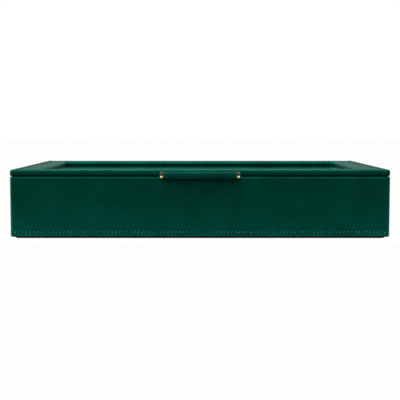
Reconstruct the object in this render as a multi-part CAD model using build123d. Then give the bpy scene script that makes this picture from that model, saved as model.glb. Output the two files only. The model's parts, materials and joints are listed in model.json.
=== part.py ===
from build123d import *
import os
from math import cos, floor, radians, sin

# A low leather-covered jewellery box with a glazed, hinged lid, in millimetres.
# The origin is the centre of the face it rests on, the front faces -Y and +Z is up.

# Outside sizes, over the leather
WIDTH = 356.0
DEPTH = 235.0
BASE_HEIGHT = 56.8
LID_THICKNESS = 5.6
LID_GAP = 0.2
CORNER_RADIUS = 3.0
BASE_RIM_RADIUS = 1.4
BASE_FOOT_RADIUS = 1.6
LID_TOP_RADIUS = 1.6
LID_UNDER_RADIUS = 1.6
LEAST_RADIUS = 0.2

# Leather, boards and the pad underneath
LEATHER = 0.9
RIM_TURN_IN = 10.0
FOOT_TURN_IN = 14.0
WALL = 9.0
PANEL_THICKNESS = 5.0
PANEL_REBATE = 4.0
PAD_THICKNESS = 1.4
PAD_INSET = 4.0

# Linings and partitions
FLOOR_LINING = 2.0
WALL_LINING = 1.6
LINING_DROP = 3.0
LINING_ROUND = 0.7
DIVIDER = 4.0
DIVIDER_DROP = 4.4
DIVIDER_ROUND = 1.5
DADO = 1.0
FIT = 0.2
RING_ZONE = 105.0
TRINKET_ZONE = 112.0
PLATFORM_HEIGHT = 10.0
ROLL_PITCH = 26.0
ROLL_GAP = 0.6
ROLL_DROP = 7.6
ROLL_END_GAP = 0.4

# Window in the lid
BORDER = 24.0
WINDOW_CORNER = 4.0
WINDOW_EDGE_RADIUS = 2.2
LIP = 2.0
GLAZING_REBATE = 8.0
GLAZING_FOLD = 6.5
GLASS = 3.0
GLASS_LAP = 6.0
GLASS_ARRIS = 0.3
GLASS_CLEARANCE = 0.3
TAPE = 0.4
TAPE_SETBACK = 1.0
RETAINER_LIP = 4.4
RETAINER_SETBACK = 1.0
RETAINER_CLEARANCE = 1.0

# Hinges
LID_OPENING = 95.0
STOP_CLEARANCE = 1.5
HINGE_INSET = 3.2
HINGE_LENGTH = 32.0
HINGE_FROM_END = 70.0
LEAF = 1.0
LEAF_MARGIN = 0.3
KNUCKLE_RADIUS = 2.0
KNUCKLE_GAP = 0.2
KNUCKLE_RELIEF = 0.4
PIN_RADIUS = 1.0
PIN_FIT_BASE = 0.02
PIN_FIT_LID = 0.06
SCREW_RADIUS = 0.75
SCREW_HEAD_RADIUS = 1.6
SCREW_HEAD = 0.85
SCREW_FROM_AXIS = 3.9
SCREW_SPREAD = 18.0
SCREW_FIT = 0.05
SCREW_SLOT = 0.4
SCREW_SLOT_DEPTH = 0.35
BASE_SCREW_LENGTH = 7.0
LID_SCREW_LENGTH = 3.4

# Pull
PULL_LENGTH = 68.0
STRAP = 1.2
STRAP_ROOT = 11.0
STRAP_PIVOT_OUT = 0.75
ROLL_OUT = 4.85
ROLL_RISE = 1.3
ROD_RADIUS = 2.0
ROD_FIT = 0.05
CAP_LENGTH = 3.3
CAP_RADIUS = 3.3
CAP_ROUND = 1.5
CAP_GAP = 0.15
SPIGOT_RADIUS = 1.2
SPIGOT_LENGTH = 2.6
SPIGOT_FIT = 0.02

# Levels
Z_FOOT = PAD_THICKNESS
Z_RIM = Z_FOOT + BASE_HEIGHT
Z_LID = Z_RIM + LID_GAP
Z_TOP = Z_LID + LID_THICKNESS
Z_PANEL = Z_FOOT + LEATHER + PANEL_THICKNESS
Z_FLOOR = Z_PANEL + FLOOR_LINING
Z_LINING = Z_RIM - LINING_DROP
Z_PLATFORM = Z_FLOOR + PLATFORM_HEIGHT
Z_LIP_BOARD = Z_TOP - LEATHER - LIP
Z_LIP_UNDER = Z_LIP_BOARD - LEATHER
Z_GLASS_TOP = Z_LIP_UNDER - TAPE
Z_GLASS = Z_GLASS_TOP - GLASS
Z_RETAINER = Z_GLASS - RETAINER_LIP
Z_DIVIDER = Z_RETAINER - DIVIDER_DROP
Z_ROLL = Z_RETAINER - ROLL_DROP
Z_LID_BOARD = Z_LID + LEATHER

# Places worked out from the sizes above
INSIDE_W = WIDTH - 2 * (LEATHER + WALL)
INSIDE_D = DEPTH - 2 * (LEATHER + WALL)
ROOM_W = INSIDE_W - 2 * WALL_LINING
ROOM_D = INSIDE_D - 2 * WALL_LINING
WINDOW_W = WIDTH - 2 * BORDER
WINDOW_D = DEPTH - 2 * BORDER
GLASS_W = WINDOW_W + 2 * GLASS_LAP
GLASS_D = WINDOW_D + 2 * GLASS_LAP
RETAINER_W = ROOM_W - 2 * RETAINER_CLEARANCE
RETAINER_D = ROOM_D - 2 * RETAINER_CLEARANCE
FRONT = -DEPTH / 2
HINGE_Y = DEPTH / 2 - HINGE_INSET
HINGE_Z = Z_RIM + LID_GAP / 2
HINGE_X = WIDTH / 2 - HINGE_FROM_END
BEVEL_ANGLE = radians((LID_OPENING + STOP_CLEARANCE) / 2)
LEAF_WIDTH = LEATHER + WALL - HINGE_INSET - LEAF_MARGIN
KNUCKLE_LENGTH = (HINGE_LENGTH - 2 * KNUCKLE_GAP) / 3
RING_LEFT = -ROOM_W / 2
TRINKET_LEFT = RING_LEFT + RING_ZONE + DIVIDER
TRINKET_RIGHT = TRINKET_LEFT + TRINKET_ZONE
BRACELET_LEFT = TRINKET_RIGHT + DIVIDER
CROSS_Y = (ROOM_D - 2 * DIVIDER) / 6 + DIVIDER / 2
ROLL_COUNT = floor(ROOM_D / ROLL_PITCH)
ROLL_STEP = ROOM_D / ROLL_COUNT
ROLL_RADIUS = (ROLL_STEP - ROLL_GAP) / 2
PIVOT_Y = FRONT - STRAP_PIVOT_OUT
PIVOT_Z = Z_LID + STRAP / 2
PULL_Y = FRONT - ROLL_OUT
PULL_Z = Z_LID + ROLL_RISE
PULL_BORE = ROD_RADIUS + ROD_FIT
PULL_RADIUS = PULL_BORE + STRAP


def slab(x0, x1, y0, y1, z0, z1):
    """Return a box between two corners."""
    return Pos((x0 + x1) / 2, (y0 + y1) / 2, (z0 + z1) / 2) * Box(x1 - x0, y1 - y0, z1 - z0)


def plate(width, depth, z0, z1):
    """Return a box centred on the Z axis between two levels."""
    return slab(-width / 2, width / 2, -depth / 2, depth / 2, z0, z1)


def rod(x0, x1, y, z, radius):
    """Return a cylinder along X."""
    return Pos((x0 + x1) / 2, y, z) * Cylinder(radius, x1 - x0, rotation=(0, 90, 0))


def inner_radius(radius, inset):
    """Return the radius of a rounded edge that lies inset below the surface."""
    return max(radius - inset, LEAST_RADIUS)


def rounded_block(inset, z0, z1, lower_radius, upper_radius):
    """Return the outside form between two levels, inset all round, with rounded edges."""
    outline = RectangleRounded(WIDTH - 2 * inset, DEPTH - 2 * inset, inner_radius(CORNER_RADIUS, inset))
    block = Pos(0, 0, z0 + inset) * extrude(outline, z1 - z0 - 2 * inset)
    block = fillet(block.edges().group_by(Axis.Z)[-1], inner_radius(upper_radius, inset))
    return fillet(block.edges().group_by(Axis.Z)[0], inner_radius(lower_radius, inset))


def rear_bevel(side, inset):
    """Return what is cut behind the hinge axis, from the base (side 1) or from the lid (side -1)."""
    normal = (0, sin(BEVEL_ANGLE), side * cos(BEVEL_ANGLE))
    face = Plane(origin=(0, HINGE_Y, HINGE_Z), x_dir=(1, 0, 0), z_dir=normal)
    reach = 4 * HINGE_INSET
    cutter = Box(2 * WIDTH, 2 * reach, reach, align=(Align.CENTER, Align.CENTER, Align.MIN))
    return face * Pos(0, 0, -inset) * cutter


def base_form(inset):
    """Return the outside form of the base, inset by a skin's thickness."""
    block = rounded_block(inset, Z_FOOT, Z_RIM, BASE_FOOT_RADIUS, BASE_RIM_RADIUS)
    return block - rear_bevel(1, inset)


def lid_form(inset):
    """Return the lid's frame with its rolled window edge, inset by a skin's thickness."""
    block = rounded_block(inset, Z_LID, Z_TOP, LID_UNDER_RADIUS, LID_TOP_RADIUS)
    outline = RectangleRounded(WINDOW_W + 2 * inset, WINDOW_D + 2 * inset, WINDOW_CORNER + inset)
    frame = block - Pos(0, 0, Z_LID) * extrude(outline, LID_THICKNESS)
    rolled = frame.faces().sort_by(Axis.Z)[-1].inner_wires()[0].edges()
    return fillet(rolled, inner_radius(WINDOW_EDGE_RADIUS, inset)) - rear_bevel(-1, inset)


def frame_sides(ring, width, depth, bar):
    """Cut a rectangular ring at its mitres into front, rear, left and right bars."""
    x, y = width / 2, depth / 2
    front = [(-x, -y), (x, -y), (x - bar, bar - y), (bar - x, bar - y)]
    left = [(-x, -y), (bar - x, bar - y), (bar - x, y - bar), (-x, y)]
    corners = {
        "front": front,
        "rear": [(px, -py) for px, py in front],
        "left": left,
        "right": [(-px, py) for px, py in left],
    }
    sides = {}
    for side, points in corners.items():
        sector = extrude(make_face(Polyline(*points, close=True)), Z_TOP, both=True)
        sides[side] = ring & sector
    return sides


def leaf_slab(x, side, margin):
    """Return the plate of a hinge leaf, on the base (side 1) or the lid (side -1), grown by a margin."""
    seat = Z_RIM if side == 1 else Z_LID
    back = seat - side * LEAF
    half = HINGE_LENGTH / 2 + margin
    return slab(x - half, x + half, HINGE_Y - LEAF_WIDTH - margin, HINGE_Y, min(seat, back), max(seat, back))


def hinge_bed(x, side):
    """Return what a hinge needs cut out of the leather and the board."""
    half = HINGE_LENGTH / 2 + KNUCKLE_GAP
    relief = rod(x - half, x + half, HINGE_Y, HINGE_Z, KNUCKLE_RADIUS + KNUCKLE_RELIEF)
    return leaf_slab(x, side, KNUCKLE_GAP / 2) + relief


def screw_places(x):
    """Return the places of one leaf's two screws."""
    y = HINGE_Y - SCREW_FROM_AXIS
    return [(x - SCREW_SPREAD / 2, y), (x + SCREW_SPREAD / 2, y)]


def screw(x, y, side, length, grow=0.0):
    """Return a countersunk screw driven down into the base (side 1) or up into the lid (side -1)."""
    seat = Z_RIM if side == 1 else Z_LID
    head = Pos(0, 0, -SCREW_HEAD / 2) * Cone(SCREW_RADIUS + grow, SCREW_HEAD_RADIUS + grow, SCREW_HEAD)
    shank = Pos(0, 0, -length / 2) * Cylinder(SCREW_RADIUS + grow, length)
    tilt = 0 if side == 1 else 180
    return Pos(x, y, seat) * Rot(tilt, 0, 0) * (head + shank)


def slotted_screw(x, y, side, length):
    """Return a countersunk screw with its driver slot."""
    seat = Z_RIM if side == 1 else Z_LID
    slot = Pos(x, y, seat) * Box(2 * SCREW_HEAD_RADIUS, SCREW_SLOT, 2 * SCREW_SLOT_DEPTH)
    return screw(x, y, side, length) - slot


def knuckles(x, side, radius):
    """Return the hinge barrels of the base leaf (the two outer ones) or the lid leaf (the middle one)."""
    step = KNUCKLE_LENGTH + KNUCKLE_GAP
    places = [x - step, x + step] if side == 1 else [x]
    return [rod(p - KNUCKLE_LENGTH / 2, p + KNUCKLE_LENGTH / 2, HINGE_Y, HINGE_Z, radius) for p in places]


def hinge_leaf(x, side, pin_fit, length):
    """Return one leaf: its plate, its barrels, the room for the other leaf's barrels and its screw holes."""
    leaf = leaf_slab(x, side, 0.0)
    half = KNUCKLE_LENGTH / 2 + KNUCKLE_GAP
    step = KNUCKLE_LENGTH + KNUCKLE_GAP
    room = KNUCKLE_RADIUS + KNUCKLE_RELIEF - KNUCKLE_GAP / 2
    for place in [x] if side == 1 else [x - step, x + step]:
        leaf -= rod(place - half, place + half, HINGE_Y, HINGE_Z, room)
    for barrel in knuckles(x, side, KNUCKLE_RADIUS):
        leaf += barrel
    leaf -= rod(x - HINGE_LENGTH, x + HINGE_LENGTH, HINGE_Y, HINGE_Z, PIN_RADIUS + pin_fit)
    for px, py in screw_places(x):
        leaf -= screw(px, py, side, length, SCREW_FIT)
    return leaf


def base_boards():
    """Return the four walls with rabbeted corners, and the panel let into them."""
    ring = base_form(LEATHER) - plate(INSIDE_W, INSIDE_D, Z_FOOT, Z_TOP)
    panel_size = (INSIDE_W + 2 * PANEL_REBATE, INSIDE_D + 2 * PANEL_REBATE)
    panel = plate(*panel_size, Z_FOOT + LEATHER, Z_PANEL)
    ring -= panel
    ring -= plate(INSIDE_W + 2 * LEATHER, INSIDE_D + 2 * LEATHER, Z_RIM - RIM_TURN_IN, Z_RIM)
    for x in (-HINGE_X, HINGE_X):
        ring -= hinge_bed(x, 1)
        for px, py in screw_places(x):
            ring -= screw(px, py, 1, BASE_SCREW_LENGTH, SCREW_FIT)
    rabbet_y = INSIDE_D / 2 + WALL / 2
    end_zone = slab(-WIDTH, WIDTH, rabbet_y, DEPTH, 0, Z_TOP)
    end_zone += slab(-INSIDE_W / 2, INSIDE_W / 2, INSIDE_D / 2, DEPTH, 0, Z_TOP)
    side_zone = slab(INSIDE_W / 2, WIDTH, -rabbet_y, rabbet_y, 0, Z_TOP)
    return {
        "base_bottom_panel": panel,
        "base_front_wall": ring & (Rot(0, 0, 180) * end_zone),
        "base_rear_wall": ring & end_zone,
        "base_left_wall": ring & (Rot(0, 0, 180) * side_zone),
        "base_right_wall": ring & side_zone,
    }


def base_covering():
    """Return the leather over the base, the card between its turn-ins and the pad."""
    wrap = base_form(0.0) - base_form(LEATHER)
    wrap -= plate(INSIDE_W, INSIDE_D, Z_RIM - RIM_TURN_IN, Z_TOP)
    flap = plate(INSIDE_W + 2 * LEATHER, INSIDE_D + 2 * LEATHER, Z_RIM - RIM_TURN_IN, Z_RIM - LEATHER / 2)
    wrap += flap - plate(INSIDE_W, INSIDE_D, Z_RIM - RIM_TURN_IN, Z_RIM)
    infill_size = (WIDTH - 2 * FOOT_TURN_IN, DEPTH - 2 * FOOT_TURN_IN)
    wrap -= plate(*infill_size, Z_FOOT, Z_FOOT + LEATHER)
    for x in (-HINGE_X, HINGE_X):
        wrap -= hinge_bed(x, 1)
    pad = RectangleRounded(WIDTH - 2 * PAD_INSET, DEPTH - 2 * PAD_INSET, CORNER_RADIUS)
    return {
        "base_leather_wrap": wrap,
        "base_infill_card": plate(*infill_size, Z_FOOT, Z_FOOT + LEATHER),
        "base_pad": extrude(pad, PAD_THICKNESS),
    }


def rounded_board(x0, x1, y0, y1, z0, z1, along, radius):
    """Return an upright board with its two long top edges rounded."""
    board = slab(x0, x1, y0, y1, z0, z1)
    top = board.faces().sort_by(Axis.Z)[-1]
    return fillet(top.edges().filter_by(along), radius)


def linings():
    """Return the covered cards on the floor and the walls."""
    y0, y1 = ROOM_D / 2, INSIDE_D / 2
    x0, x1 = ROOM_W / 2, INSIDE_W / 2
    rear = rounded_board(-x1, x1, y0, y1, Z_PANEL, Z_LINING, Axis.X, LINING_ROUND)
    right = rounded_board(x0, x1, -y0, y0, Z_PANEL, Z_LINING, Axis.Y, LINING_ROUND)
    return {
        "floor_lining": plate(ROOM_W, ROOM_D, Z_PANEL, Z_FLOOR),
        "front_wall_lining": Rot(0, 0, 180) * rear,
        "rear_wall_lining": rear,
        "left_wall_lining": Rot(0, 0, 180) * right,
        "right_wall_lining": right,
    }


def cross_slot(x, y, z0, z1):
    """Return the slot of a half-lap crossing of two partitions."""
    half = DIVIDER / 2 + FIT
    return slab(x - half, x + half, y - half, y + half, z0, z1)


def dividers():
    """Return the partitions: two long ones, and between and beside them the short ones."""
    end = ROOM_D / 2 - FIT
    z_lap = (Z_FLOOR + Z_DIVIDER) / 2
    bracelet_end = ROOM_W / 2 - FIT
    column_x = (TRINKET_LEFT + TRINKET_RIGHT) / 2

    def along_y(x0):
        return rounded_board(x0, x0 + DIVIDER, -end, end, Z_FLOOR, Z_DIVIDER, Axis.Y, DIVIDER_ROUND)

    def along_x(x0, x1, y):
        half = DIVIDER / 2
        return rounded_board(x0, x1, y - half, y + half, Z_FLOOR, Z_DIVIDER, Axis.X, DIVIDER_ROUND)

    pieces = {
        "ring_zone_divider": along_y(TRINKET_LEFT - DIVIDER),
        "bracelet_zone_divider": along_y(TRINKET_RIGHT),
        "trinket_column_divider": along_y(column_x - DIVIDER / 2),
    }
    groove = DIVIDER / 2 + FIT
    for name, y in (("front", -CROSS_Y), ("rear", CROSS_Y)):
        trinket = along_x(TRINKET_LEFT - DADO + FIT, TRINKET_RIGHT + DADO - FIT, y)
        pieces[f"trinket_{name}_divider"] = trinket - cross_slot(column_x, y, Z_FLOOR, z_lap + FIT / 2)
        pieces[f"bracelet_{name}_divider"] = along_x(BRACELET_LEFT - DADO + FIT, bracelet_end, y)
        pieces["trinket_column_divider"] -= cross_slot(column_x, y, z_lap - FIT / 2, Z_TOP)
        for long_piece, x in (
            ("ring_zone_divider", TRINKET_LEFT),
            ("bracelet_zone_divider", TRINKET_RIGHT),
            ("bracelet_zone_divider", BRACELET_LEFT),
        ):
            pieces[long_piece] -= slab(x - DADO, x + DADO, y - groove, y + groove, Z_FLOOR, Z_TOP)
    return pieces


def ring_rolls():
    """Return the platform and the padded rolls that grip rings between them."""
    ring_right = RING_LEFT + RING_ZONE
    end = ROOM_D / 2 - FIT
    platform = slab(RING_LEFT + FIT, ring_right - FIT, -end, end, Z_FLOOR, Z_PLATFORM)
    pieces = {"ring_platform": platform}
    x0 = RING_LEFT + ROLL_END_GAP
    x1 = ring_right - ROLL_END_GAP
    z_axis = Z_ROLL - ROLL_RADIUS
    for index in range(ROLL_COUNT):
        y = ROLL_STEP * (index + 0.5) - ROOM_D / 2
        roll = rod(x0, x1, y, z_axis, ROLL_RADIUS)
        roll += slab(x0, x1, y - ROLL_RADIUS, y + ROLL_RADIUS, Z_PLATFORM, z_axis)
        pieces[f"ring_roll_{index + 1}"] = roll - slab(x0, x1, -DEPTH, DEPTH, 0, Z_PLATFORM)
    return pieces


def strap_bed():
    """Return the strap's end under the front rail."""
    half = PULL_LENGTH / 2
    return slab(-half, half, FRONT, FRONT + STRAP_ROOT, Z_LID, Z_LID + STRAP)


def lid_boards():
    """Return the mitred rails and stiles of the lid."""
    ring = lid_form(LEATHER)
    ring -= plate(WINDOW_W + 2 * GLAZING_REBATE, WINDOW_D + 2 * GLAZING_REBATE, Z_LID, Z_LIP_BOARD)
    for x in (-HINGE_X, HINGE_X):
        ring -= hinge_bed(x, -1)
        for px, py in screw_places(x):
            ring -= screw(px, py, -1, LID_SCREW_LENGTH, SCREW_FIT)
    ring -= strap_bed()
    bars = frame_sides(ring, WIDTH, DEPTH, BORDER + WINDOW_CORNER)
    return {
        "lid_front_rail": bars["front"],
        "lid_rear_rail": bars["rear"],
        "lid_left_stile": bars["left"],
        "lid_right_stile": bars["right"],
    }


def lid_covering():
    """Return the leather over the lid, turned under its edge and into the glazing rebate."""
    rebate = (WINDOW_W + 2 * GLAZING_REBATE, WINDOW_D + 2 * GLAZING_REBATE)
    fold = (WINDOW_W + 2 * GLAZING_FOLD, WINDOW_D + 2 * GLAZING_FOLD)
    core = lid_form(LEATHER) - plate(*rebate, Z_LID, Z_LIP_BOARD)
    wrap = lid_form(0.0) - core
    wrap -= plate(*rebate, Z_LID, Z_LIP_UNDER)
    wrap -= plate(*rebate, Z_LIP_UNDER, Z_LIP_BOARD) - plate(*fold, Z_LIP_UNDER, Z_LIP_BOARD)
    wrap -= plate(RETAINER_W + 2 * FIT, RETAINER_D + 2 * FIT, Z_LID, Z_LID_BOARD)
    for x in (-HINGE_X, HINGE_X):
        wrap -= hinge_bed(x, -1)
    return {"lid_leather_wrap": wrap - strap_bed()}


def window():
    """Return the pane, the tape it is bedded on and the four bars that hold it."""
    pane = plate(GLASS_W, GLASS_D, Z_GLASS, Z_GLASS_TOP)
    tape = plate(GLASS_W, GLASS_D, Z_GLASS_TOP, Z_LIP_UNDER)
    tape -= plate(WINDOW_W + 2 * TAPE_SETBACK, WINDOW_D + 2 * TAPE_SETBACK, Z_GLASS_TOP, Z_LIP_UNDER)
    opening = (WINDOW_W + 2 * RETAINER_SETBACK, WINDOW_D + 2 * RETAINER_SETBACK)
    ring = plate(RETAINER_W, RETAINER_D, Z_RETAINER, Z_LID_BOARD) - plate(*opening, Z_RETAINER, Z_TOP)
    ring -= plate(GLASS_W + 2 * GLASS_CLEARANCE, GLASS_D + 2 * GLASS_CLEARANCE, Z_GLASS, Z_TOP)
    bars = frame_sides(ring, RETAINER_W, RETAINER_D, (RETAINER_W - opening[0]) / 2)
    pieces = {"window_glass": chamfer(pane.edges(), GLASS_ARRIS), "glazing_tape": tape}
    for side, bar in bars.items():
        pieces[f"retainer_{side}"] = bar
    return pieces


def hinges():
    """Return two butt hinges, their pins and their screws."""
    half = HINGE_LENGTH / 2
    pieces = {}
    base_screws = []
    lid_screws = []
    for name, x in (("left", -HINGE_X), ("right", HINGE_X)):
        pieces[f"hinge_base_leaf_{name}"] = hinge_leaf(x, 1, PIN_FIT_BASE, BASE_SCREW_LENGTH)
        pieces[f"hinge_lid_leaf_{name}"] = hinge_leaf(x, -1, PIN_FIT_LID, LID_SCREW_LENGTH)
        pieces[f"hinge_pin_{name}"] = rod(x - half, x + half, HINGE_Y, HINGE_Z, PIN_RADIUS)
        base_screws += [slotted_screw(px, py, 1, BASE_SCREW_LENGTH) for px, py in screw_places(x)]
        lid_screws += [slotted_screw(px, py, -1, LID_SCREW_LENGTH) for px, py in screw_places(x)]
    pieces["hinge_base_screws"] = Compound(children=base_screws)
    pieces["hinge_lid_screws"] = Compound(children=lid_screws)
    return pieces


def pull():
    """Return the strap's end, its roll, the rod inside it and the two bead caps."""
    half = PULL_LENGTH / 2
    loop = slab(-half, half, PULL_Y, PIVOT_Y, PIVOT_Z - STRAP / 2, PIVOT_Z + STRAP / 2)
    loop += rod(-half, half, PIVOT_Y, PIVOT_Z, STRAP / 2)
    loop += rod(-half, half, PULL_Y, PULL_Z, PULL_RADIUS)
    loop -= rod(-half, half, PULL_Y, PULL_Z, PULL_BORE)
    shoulder = half + CAP_GAP
    tip = shoulder + SPIGOT_LENGTH
    bar = rod(-shoulder, shoulder, PULL_Y, PULL_Z, ROD_RADIUS)
    bar += rod(-tip, tip, PULL_Y, PULL_Z, SPIGOT_RADIUS)
    bead = rod(shoulder, shoulder + CAP_LENGTH, PULL_Y, PULL_Z, CAP_RADIUS)
    bead = fillet(bead.edges().filter_by(GeomType.CIRCLE), CAP_ROUND)
    bead -= rod(shoulder, tip + SPIGOT_FIT, PULL_Y, PULL_Z, SPIGOT_RADIUS + SPIGOT_FIT)
    return {
        "pull_tab_root": strap_bed(),
        "pull_tab_loop": loop,
        "pull_rod": bar,
        "pull_cap_left": mirror(bead, Plane.YZ),
        "pull_cap_right": bead,
    }


def build():
    """Return every piece of the box by name."""
    pieces = {}
    for group in (
        base_boards,
        base_covering,
        linings,
        dividers,
        ring_rolls,
        lid_boards,
        lid_covering,
        window,
        hinges,
        pull,
    ):
        pieces.update(group())
    return pieces


os.makedirs("parts", exist_ok=True)
for piece_name, piece in build().items():
    export_step(piece, f"parts/{piece_name}.step")
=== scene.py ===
"""Looks of a low green leather jewellery box with a glazed lid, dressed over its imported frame."""
import json
import logging
import math
from dataclasses import dataclass, field
from enum import Enum
from typing import Any, Optional, Sequence

import bpy
import numpy as np
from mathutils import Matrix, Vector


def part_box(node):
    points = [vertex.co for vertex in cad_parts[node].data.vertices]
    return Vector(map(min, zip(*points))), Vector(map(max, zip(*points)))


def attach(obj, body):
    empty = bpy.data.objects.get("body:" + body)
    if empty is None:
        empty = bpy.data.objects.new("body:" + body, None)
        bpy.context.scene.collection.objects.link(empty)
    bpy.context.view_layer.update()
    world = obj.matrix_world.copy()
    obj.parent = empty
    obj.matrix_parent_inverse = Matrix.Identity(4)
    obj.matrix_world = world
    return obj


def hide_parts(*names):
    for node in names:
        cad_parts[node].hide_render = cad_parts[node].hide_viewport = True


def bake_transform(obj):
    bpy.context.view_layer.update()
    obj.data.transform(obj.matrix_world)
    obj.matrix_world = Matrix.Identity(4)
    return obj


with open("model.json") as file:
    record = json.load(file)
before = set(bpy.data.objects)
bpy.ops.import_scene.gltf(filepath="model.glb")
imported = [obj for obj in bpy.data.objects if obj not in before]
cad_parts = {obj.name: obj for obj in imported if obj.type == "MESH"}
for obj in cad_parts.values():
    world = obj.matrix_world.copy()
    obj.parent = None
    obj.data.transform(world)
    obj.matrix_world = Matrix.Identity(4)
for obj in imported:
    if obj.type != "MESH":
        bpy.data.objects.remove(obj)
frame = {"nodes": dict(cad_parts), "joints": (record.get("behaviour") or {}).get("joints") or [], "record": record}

LOG = logging.getLogger("jewellery_box")
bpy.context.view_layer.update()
MM = 0.001
SEED = 20
FULL_TURN = 2 * math.pi
QUARTER_TURN = 0.5 * math.pi
SIDES = ("left", "right")
WHITE = (1.0, 1.0, 1.0)

Colour = tuple[float, float, float]
Point = tuple[float, float, float]
Socket = bpy.types.NodeSocket


class Body(Enum):
    """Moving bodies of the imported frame."""

    BASE = "base"
    LID = "lid"
    PULL = "pull_tab"


class Slot(Enum):
    """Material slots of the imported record."""

    LEATHER = "green_leather"
    BOARD = "board"
    SUEDE = "suede"
    FELT = "black_felt"
    GLASS = "window_glass"
    BRASS = "brass"
    TAPE = "glazing_tape"


class Zone(Enum):
    """Kinds of cross-section that a leather skin takes on its way round the box."""

    PLAIN = 0
    REAR = 1
    HINGE = 2
    STRAP = 3


# Node drawing


class Sketch:
    """A node tree that is being drawn."""

    def __init__(self, tree: bpy.types.NodeTree) -> None:
        """Keep the tree that nodes are added to."""
        self.tree = tree

    def node(self, kind: str, sockets: Optional[dict[Any, Any]] = None, **settings: Any) -> bpy.types.Node:
        """Add a node.

        Args:
            kind: Blender's name of the node type.
            sockets: values or output sockets for the node's inputs, by name or by place.
            settings: properties of the node itself.

        Returns:
            The new node.
        """
        made = self.tree.nodes.new(kind)
        for name, value in settings.items():
            setattr(made, name, value)
        self.feed(made, sockets or {})
        return made

    def feed(self, node: bpy.types.Node, sockets: dict[Any, Any]) -> None:
        """Link output sockets into a node's inputs, or set the inputs' own values.

        Args:
            node: the node.
            sockets: values or output sockets, by the input's name or place. Plain colours are opaque.
        """
        for name, value in sockets.items():
            taker = node.inputs[name]
            if isinstance(value, Socket):
                self.tree.links.new(value, taker)
            else:
                taker.default_value = (*value, 1.0) if taker.type == "RGBA" else value

    def math(self, operation: str, *values: Any) -> Socket:
        """Add a Math node on the given values and return its output."""
        return self.node("ShaderNodeMath", dict(enumerate(values)), operation=operation).outputs[0]

    def ramp(self, value: Any, low: float, high: float, out_low: float, out_high: float) -> Socket:
        """Add a smooth Map Range from one span to another and return its output."""
        sockets = {"Value": value, "From Min": low, "From Max": high, "To Min": out_low, "To Max": out_high}
        return self.node("ShaderNodeMapRange", sockets, interpolation_type="SMOOTHSTEP").outputs["Result"]

    def blend(self, share: Any, first: Any, second: Any) -> Socket:
        """Mix two colours by a share and return the colour."""
        return self.node("ShaderNodeMix", {0: share, 6: first, 7: second}, data_type="RGBA").outputs[2]

    def noise(self, vector: Socket, scale: Any, detail: float, **more: float) -> Any:
        """Add a noise texture and return its outputs."""
        sockets = {"Vector": vector, "Scale": scale, "Detail": detail, **more}
        return self.node("ShaderNodeTexNoise", sockets).outputs

    def group(self, tree: bpy.types.NodeTree, **sockets: Any) -> Any:
        """Place a node group and return its outputs."""
        return self.node("ShaderNodeGroup", sockets, node_tree=tree).outputs

    def bump(self, height: Socket, strength: float, distance: float) -> Socket:
        """Add a Bump node and return its normal."""
        sockets = {"Height": height, "Strength": strength, "Distance": distance}
        return self.node("ShaderNodeBump", sockets).outputs[0]

    def attribute(self, name: str) -> Socket:
        """Read a mesh attribute as a value."""
        return self.node("ShaderNodeAttribute", attribute_name=name).outputs["Fac"]


def new_group(name: str, takes: dict[str, Optional[float]], gives: Sequence[str]) -> tuple[Sketch, Any, Any]:
    """Start a shader node group with named sockets.

    Args:
        name: the group's name.
        takes: input names with the default of a value, or with none for a vector.
        gives: names of the values that the group puts out.

    Returns:
        The sketch of the group, its inputs and its output node.
    """
    tree = bpy.data.node_groups.new(name, "ShaderNodeTree")
    for label, value in takes.items():
        kind = "NodeSocketVector" if value is None else "NodeSocketFloat"
        socket = tree.interface.new_socket(label, in_out="INPUT", socket_type=kind)
        if value is not None:
            socket.default_value = value
    for label in gives:
        tree.interface.new_socket(label, in_out="OUTPUT", socket_type="NodeSocketFloat")
    sketch = Sketch(tree)
    return sketch, sketch.node("NodeGroupInput").outputs, sketch.node("NodeGroupOutput")


def pebble_group() -> bpy.types.NodeTree:
    """Build the leather grain: rounded pebbles between fine creases, with fine pores and a slow mottle.

    The height is the distance to the nearest crease of a warped cell pattern, flattened at its top, plus the
    pores. The tone is a slow noise.

    Returns:
        The node group, with inputs Vector and Scale and outputs Height, Crease and Tone.
    """
    takes = {"Vector": None, "Scale": 1000.0}
    sketch, given, end = new_group("leather_pebble", takes, ("Height", "Crease", "Tone"))
    vector = given["Vector"]
    warp = sketch.noise(vector, 420.0, 2.0)["Color"]
    lean = sketch.node("ShaderNodeVectorMath", {0: warp, 1: (0.5, 0.5, 0.5)}, operation="SUBTRACT")
    push = sketch.node("ShaderNodeVectorMath", {0: lean.outputs[0], "Scale": 1.1 * MM}, operation="SCALE")
    moved = sketch.node("ShaderNodeVectorMath", {0: vector, 1: push.outputs[0]}, operation="ADD")
    sockets = {"Vector": moved.outputs[0], "Scale": given["Scale"], "Randomness": 0.9}
    cells = sketch.node("ShaderNodeTexVoronoi", sockets, feature="DISTANCE_TO_EDGE").outputs["Distance"]
    pores = sketch.math("MULTIPLY", sketch.noise(vector, 3600.0, 3.0)["Fac"], 0.35)
    slow = sketch.noise(vector, 34.0, 4.0, Roughness=0.6)["Fac"]
    sketch.feed(end, {
        "Height": sketch.math("ADD", sketch.ramp(cells, 0.0, 0.32, 0.0, 1.0), pores),
        "Crease": sketch.ramp(cells, 0.0, 0.16, 1.0, 0.0),
        "Tone": sketch.ramp(slow, 0.3, 0.7, 0.0, 1.0),
    })
    return sketch.tree


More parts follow.
